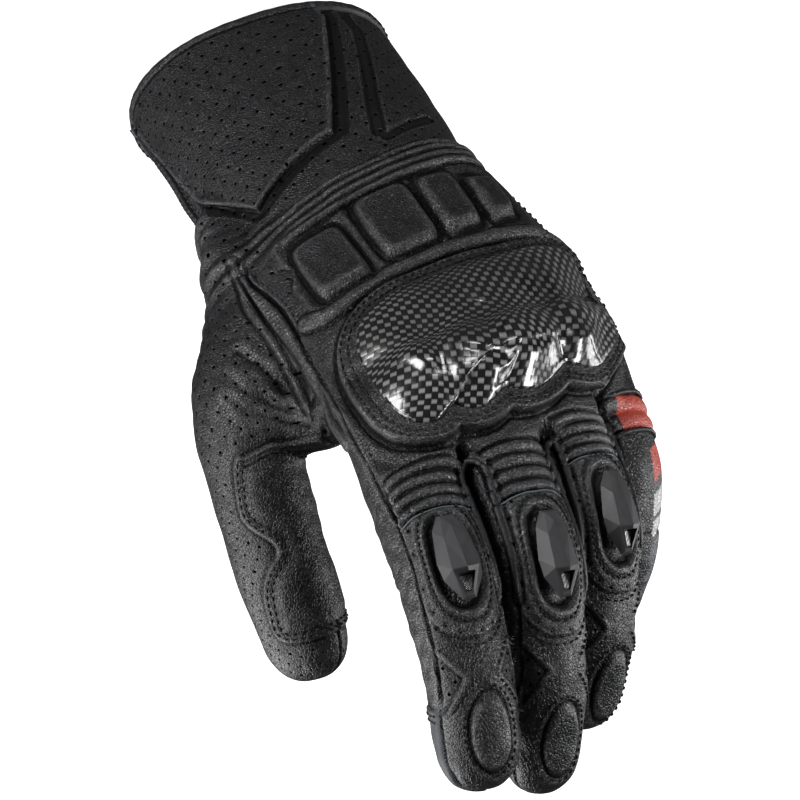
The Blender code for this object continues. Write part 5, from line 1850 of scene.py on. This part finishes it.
def fuzzy_tape(name, colour):
    m = Material(name)
    place = m.object_mm()
    tuft = m.voronoi(place, 1.3)
    shade = m.noise(place, scale=2.4, detail=4.0, roughness=0.7)
    dark, light = (tuple(part * factor for part in colour) for factor in (0.5, 1.8))
    m.set(Base_Color=m.mix(shade, dark, light), Roughness=0.95, Specular_IOR_Level=0.2,
          Sheen_Weight=0.3)
    m.bump(tuft * -0.35 + shade * 0.2)
    return m.data


def knit_lining():
    m = Material("knit_lining")
    place = m.rest()
    row_pitch = 1.2
    row = m.math("SINE", m.split(place)[1] * (2 * math.pi / row_pitch))
    shade = m.noise(place, scale=1.2, detail=3.0)
    base = m.mix(shade, (0.012, 0.012, 0.013), (0.028, 0.028, 0.030))
    m.set(Base_Color=base, Roughness=0.92, Specular_IOR_Level=0.2)
    m.bump(row * 0.08 + shade * 0.15)
    return m.data


def pale_floor():
    """Near white to the camera, dark grey to everything else."""
    m = Material("pale_floor")
    shade = m.noise(m.output(m.node("ShaderNodeTexCoord"), "Object"), scale=6.0, detail=3.0)
    seen = m.output(m.node("ShaderNodeLightPath"), "Is Camera Ray")
    pale = m.mix(shade, (0.86, 0.86, 0.86), (0.90, 0.90, 0.90))
    m.set(Base_Color=m.mix(seen, (0.10, 0.10, 0.10), pale), Roughness=0.9,
          Specular_IOR_Level=0.0, Emission_Color=(1.0, 1.0, 1.0),
          Emission_Strength=seen * 0.9)
    return m.data


# ------------------------------------------------------------------ the separate parts


def new_part(name, points, faces, material):
    part = link(name, glove_mesh(name, points, faces))
    put_attribute(part.data, "rest", "FLOAT_VECTOR", points)
    part.data.materials.append(material)
    return part


def orient(points, faces):
    """Turn a closed shape's quads to face out in the object's frame."""
    place = world(points)
    volume = 0.0
    for triangle in ((0, 1, 2), (0, 2, 3)):
        a, b, c = (place[faces[:, k]] for k in triangle)
        volume += (a * np.cross(b, c)).sum()
    return faces[:, ::-1] if volume < 0 else faces


def closed_slab(outer, inner):
    """Two matching grids of points joined round their borders."""
    rows, columns = outer.shape[:2]
    points = np.concatenate([outer.reshape(-1, 3), inner.reshape(-1, 3)])
    base = rows * columns
    i, j = np.arange(rows - 1) * columns, np.arange(columns - 1)
    first, last = j, (rows - 1) * columns + j
    left, right = i, i + columns - 1
    faces = np.concatenate([
        grid_faces(rows, columns),
        grid_faces(rows, columns, base=base)[:, ::-1],
        np.stack([first + 1, first, base + first, base + first + 1], 1),
        np.stack([last, last + 1, base + last + 1, base + last], 1),
        np.stack([left, left + columns, base + left + columns, base + left], 1),
        np.stack([right + columns, right, base + right, base + right + columns], 1),
    ])
    return points, orient(points, faces)


def loose_stitches(name, path, outward, spacing, body, radius):
    """Stitches on a separate part, as an object of their own."""
    row = Trim()
    row.stitches(path, outward, spacing, dips=(0.22, 0.0, 0.03, 0.0, 0.22),
                 radii=(0.12, radius * 0.9, radius, radius * 0.9, 0.12))
    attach(new_part(name, np.vstack(row.points), np.vstack(row.faces), THREAD), body)


# the moulded guard's lumps: centre u, half width
GUARD_LUMPS = ((-30.2, 7.0), (-15.8, 6.6), (1.4, 9.6), (23.5, 10.0))
# the guard's stepped ledge: u and q
LEDGE_U = [-36, -30.5, -27, -23, -19.5, -15, -12, -8.5, -5.5, 2, 9, 13, 17.5, 26.5, 36]
LEDGE_Q = [71, 74, 78.5, 77.6, 75.5, 76.6, 78.5, 79, 79, 79.8, 80.5, 79.2, 77.5, 78.5, 79]
# the valleys between its lumps, each as u, q
VALLEYS = [
    [(-15.0, 50), (-15.5, 54.5), (-18, 66), (-21, 77), (-22.5, 89)],
    [(-5.5, 52), (-6.5, 58), (-7.5, 70.5), (-8.6, 78), (-9, 89)],
    [(18.5, 53), (17.5, 58.5), (16, 67), (12.6, 79.5), (12.2, 89)],
]


def guard_height(u, q, edge):
    """The guard's height over its seat. edge is 0 at its outline and 1 at its centre."""
    dome = 3.4 * (1 - (1 - np.clip(edge * 2.2, 0, 1)) ** 2)
    swell = rise(q, 52, 68) * (1 - 0.45 * rise(q, 79, 92))
    lumps = sum(np.exp(-(((u - centre) / half) ** 4) * 0.8) for centre, half in GUARD_LUMPS)
    inland = rise(edge, 0.02, 0.14)
    height = 1.9 + ((dome + 3.9 * swell * lumps * np.clip(edge * 3.2, 0, 1))
                    * (1 - 0.42 * rise(u, 12, 36)))
    past_ledge = q - np.interp(u, LEDGE_U, LEDGE_Q)
    height = height - 0.8 * rise(past_ledge, -0.35, 0.4) * inland
    height = height + 0.15 * bell(past_ledge + 1.6, 1.4) * inland
    for path in VALLEYS:
        path_u, path_q = np.array(path).T
        valley = bell(u - np.interp(q, path_q, path_u), 2.4)
        height = height - 0.9 * valley * rise(q, 51, 62) * inland
    # a small step on the index finger's lump
    step = u - np.interp(q, [56, 59.5, 66, 72.5, 78.5], [-26.5, -28, -30, -31, -27.5])
    return height + 0.55 * plateau(step, -0.3, 0.5, 1.5, 7) * plateau(q, 57, 63, 74, 78)


def build_guard():
    """One moulded shell on a square grid drawn out to the outline."""
    rows, columns = ((150, 110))
    a, b = np.meshgrid(np.linspace(-1, 1, rows), np.linspace(-1, 1, columns), indexing="ij")
    a, b = signed_power(a, 0.93), signed_power(b, 0.93)
    reach, angle = np.maximum(abs(a), abs(b)), np.arctan2(b, a)
    outline = closed_curve(GUARD_OUTLINE, 720) - GUARD_CENTRE
    outline_angle = np.arctan2(outline[:, 1], outline[:, 0])
    order = np.argsort(outline_angle)
    outline_angle = outline_angle[order]
    outline_radius = np.hypot(outline[:, 0], outline[:, 1])[order]
    full_turn = 2 * np.pi
    angles = [outline_angle - full_turn, outline_angle, outline_angle + full_turn]
    radius = np.interp(angle, np.concatenate(angles), np.tile(outline_radius, 3)) * reach
    u, q = GUARD_CENTRE[0] + np.cos(angle) * radius, GUARD_CENTRE[1] + np.sin(angle) * radius
    edge = 1 - reach
    height = guard_height(u, q, edge)
    for _ in range(3):
        padded = np.pad(height, 1, mode="edge")
        beside = (padded[:-2, 1:-1] + padded[2:, 1:-1] + padded[1:-1, :-2] + padded[1:-1, 2:])
        height = height * 0.4 + 0.6 * beside / 4
    top = guard_seat(q) + height
    points, faces = closed_slab(SHEET.point(u, q, top), SHEET.point(u, q, top - 1.5 - 0.4 * edge))
    shell = new_part("carbon_guard", points, faces, woven_carbon())
    weave = np.stack([u, q, 0 * u], -1).reshape(-1, 3)
    put_attribute(shell.data, "weave", "FLOAT_VECTOR", np.tile(weave, (2, 1)))
    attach(shell, "hand")
    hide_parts("knuckle_guard")


def build_binding():
    """The rolled edge round the rim, with its stitches."""
    count, sides = 360, 14
    angles = np.arange(count) / count * 2 * np.pi
    half_depth, half_thickness, inset = 2.15, 2.25, -1.0

    def ring(turned, out=0.0):
        """A line round the rim, at an angle about the roll's own section."""
        stand = inset + half_thickness * np.cos(turned) * (1 + 0.06 * np.sin(turned))
        x = hand_point(np.full(count, -2.0), angles, stand)[:, 0]
        y = rim_y(x) - (half_depth + half_depth * np.sin(turned))
        return hand_point(y, angles, stand + out)

    wobble = 0.05 * np.sin(angles * 31) + 0.04 * np.sin(angles * 57 + 1)
    points = np.vstack([ring(k / sides * 2 * np.pi, wobble) for k in range(sides)])
    faces = orient(points, grid_faces(sides, count, wrap_columns=True, wrap_rows=True))
    binding = new_part("cuff_binding", points, faces, BINDING)
    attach(binding, "cuff")
    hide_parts("cuff_edge_binding")
    path = ring(0.62)
    outward = ring(0.62, 1.0) - path
    loose_stitches("cuff_binding_stitches", np.vstack([path, path[:1]]),
                   np.vstack([outward, outward[:1]]), 2.7, "cuff", 0.3)


def build_lining():
    """The knit lining seen down the cuff, closed at its far end."""
    count, depth_y = 120, -152.0
    angles = np.arange(count) / count * 2 * np.pi
    x = hand_point(np.full(count, -2.0), angles, -2.6)[:, 0]
    rings = []
    for part in np.linspace(0, 1, 40):
        y = (rim_y(x) - 1.6) * (1 - part) + depth_y * part
        out = -2.9 - 0.25 * np.sin(y * 0.9) * rise(-y, 60, 80) - 2.5 * rise(-y, 64, 90)
        rings.append(hand_point(y, angles, out))
    end = rings[-1]
    centre = end.mean(0)
    rings += [centre + (end - centre) * part for part in (0.6, 0.25, 0.03)]
    points = np.vstack(rings)
    faces = grid_faces(len(rings), count, wrap_columns=True)
    lining = new_part("cuff_lining", points, faces, knit_lining())
    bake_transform(lining, "cuff", "hand", start=(0, 0, 0.07), end=(0, 0, 0.1))
    put_attribute(lining.data, "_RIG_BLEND", "FLOAT", rise(-points[:, 1], 76, 98))


def flap_point(a, b, out):
    """A point of the flap; a runs round the cuff and b along it, both -1 to 1."""
    y = -49 + 15 * b * (1 - 0.18 * rise(-a, 0.55, 1.0))
    return hand_point(y, np.radians(274 + 46 * a), out)


def build_flap():
    """The closure flap on the palm side, with a raised tab and a line of stitches."""
    power = 7
    a, b = np.meshgrid(np.linspace(-1, 1, 90), np.linspace(-1, 1, 36), indexing="ij")
    square = np.maximum(np.maximum(abs(a), abs(b)), 1e-9)
    rounded = (abs(a) ** power + abs(b) ** power) ** (1 / power)
    a, b = a * square / rounded, b * square / rounded
    inland = 1 - square
    height = (4.1 - 1.5 * fall(inland, 0.0, 0.05) ** 2 - 0.35 * bell(inland - 0.16, 0.02)
              + 0.25 * rise(inland, 0.18, 0.4))
    tab = ((a + 0.62) / 0.2) ** 4 + (b / 0.62) ** 4
    height = height + 0.9 * fall(tab, 0.55, 1.0) + 0.35 * fall(tab, 0.5, 0.9) * np.sin(a * 90)
    points, faces = closed_slab(flap_point(a, b, height), flap_point(a, b, 2.35))
    leather = plain_leather("flap_leather", (0.013, 0.013, 0.015), (0.026, 0.026, 0.029))
    flap = new_part("closure_flap_leather", points, faces, leather)
    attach(flap, "closure_flap")
    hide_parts("closure_flap")
    a, b = superellipse(np.linspace(0, 1, 200) * 2 * np.pi, 0.84, 0.84, power)
    path = flap_point(a, b, 3.85)
    loose_stitches("closure_flap_stitches", path, flap_point(a, b, 4.85) - path, 2.6,
                   "closure_flap", 0.28)


def paint_node(name, material):
    """Give a CAD body that keeps its own shape its material."""
    body = next(o for o in bpy.data.objects if o.get("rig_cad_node") == name)
    body.data.materials.clear()
    body.data.materials.append(material)
    for slot in body.material_slots:
        slot.material = material
    return body


def finish_bodies():
    plastic, steel = slider_plastic(), steel_mesh()
    loop = fuzzy_tape("loop_tape", (0.016, 0.016, 0.017))
    hook = fuzzy_tape("hook_tape", (0.010, 0.010, 0.011))
    for name in ("index", "middle", "ring"):
        cap = paint_node(name + "_slider_cap", plastic)
        bevel = cap.modifiers.new("edges", "BEVEL")
        bevel.width = 0.00022
        bevel.segments = 2
        bevel.limit_method = "ANGLE"
        bevel.angle_limit = math.radians(14)
        bevel.harden_normals = False
        paint_node(name + "_slider_mesh", steel)
    paint_node("closure_loop_patch", loop)
    paint_node("closure_hook_patch", hook)


LEATHER = glove_leather()
THREAD = thread("black_thread", dark=(0.0022, 0.0022, 0.0025), light=(0.016, 0.016, 0.018))
HOLE_SHADE = hole_shade()
CORD = thread("pale_cord", dark=(0.07, 0.09, 0.095), light=(0.19, 0.23, 0.24))
BINDING = plain_leather("binding_leather", (0.012, 0.012, 0.014), (0.024, 0.024, 0.028),
                        roughness=0.4, size=0.6, depth=0.03)
for key in PIECES:
    build_piece(key, [LEATHER, THREAD, HOLE_SHADE, CORD, BINDING])
build_guard()
build_binding()
build_lining()
build_flap()
finish_bodies()

# ------------------------------------------------------------------ floor, camera, lights

floor_mesh = bpy.data.meshes.new("floor")
floor_mesh.from_pydata([(-6, -6, 0), (6, -6, 0), (6, 6, 0), (-6, 6, 0)], [], [(0, 1, 2, 3)])
floor = link("floor", floor_mesh)
floor_mesh.materials.append(pale_floor())

# the camera's place and axes in the hand frame
EYE = (-290.552, -608.246, 437.696)
right = unit(FRAME @ np.array([0.88665, -0.45807, 0.06344]))
back = unit(np.cross(right, unit(FRAME @ np.array([0.25333, 0.59589, 0.76206]))))
up = np.cross(back, right)


def pose(x, y, z, place):
    return Matrix([*zip(x, y, z, place), (0, 0, 0, 1)])


camera = bpy.data.cameras.new("camera")
camera.sensor_width = 36.0
camera.lens = 108.0
camera.clip_start = 0.05
camera_object = link("camera", camera)
camera_object.matrix_world = pose(right, up, back, world(EYE) / 1000.0)
bpy.context.scene.camera = camera_object

LIGHT_TARGET = np.array((0.0, -0.01, 0.13))


def softbox(name, towards, distance, size, power):
    """An area light. towards: parts of the camera's back, right and up, from the target."""
    direction = unit(back * towards[0] + right * towards[1] + up * towards[2])
    place = LIGHT_TARGET + direction * distance
    place[2] = max(place[2], 0.1)
    z = unit(place - LIGHT_TARGET)
    x = unit(np.cross(up, z))
    light = bpy.data.lights.new(name, "AREA")
    light.shape = "RECTANGLE"
    light.size, light.size_y = size
    light.energy = power
    link(name, light).matrix_world = pose(x, np.cross(z, x), z, place)


softbox("left_low", towards=(0.46, -0.82, -0.34), distance=0.95, size=(0.46, 0.44), power=3.9)
softbox("left_high", towards=(0.10, -0.78, 0.60), distance=0.95, size=(0.36, 0.36), power=4.6)
softbox("right", towards=(0.30, 0.92, -0.08), distance=0.95, size=(0.24, 0.60), power=6.0)
softbox("top", towards=(0.62, 0.15, 0.98), distance=1.05, size=(0.50, 0.16), power=2.3)
softbox("back_left", towards=(-0.80, -0.75, 0.15), distance=1.0, size=(0.50, 0.50), power=4.0)
softbox("back_right", towards=(-0.75, 0.85, 0.10), distance=1.0, size=(0.50, 0.50), power=4.0)

# the world is near white to the camera and dim to everything else
studio = bpy.data.worlds.new("studio")
bpy.context.scene.world = studio
studio.use_nodes = True
nodes, links = studio.node_tree.nodes, studio.node_tree.links
light_path = nodes.new("ShaderNodeLightPath")
shade = nodes.new("ShaderNodeMix")
shade.data_type = "RGBA"
shade.inputs[6].default_value = (0.062, 0.062, 0.066, 1)
shade.inputs[7].default_value = (0.97, 0.97, 0.97, 1)
links.new(light_path.outputs["Is Camera Ray"], shade.inputs["Factor"])
links.new(shade.outputs[2], nodes["Background"].inputs["Color"])
nodes["Background"].inputs["Strength"].default_value = 1.0
view = bpy.context.scene.view_settings
view.view_transform = "Standard"
view.look = "None"
view.exposure = 0.0
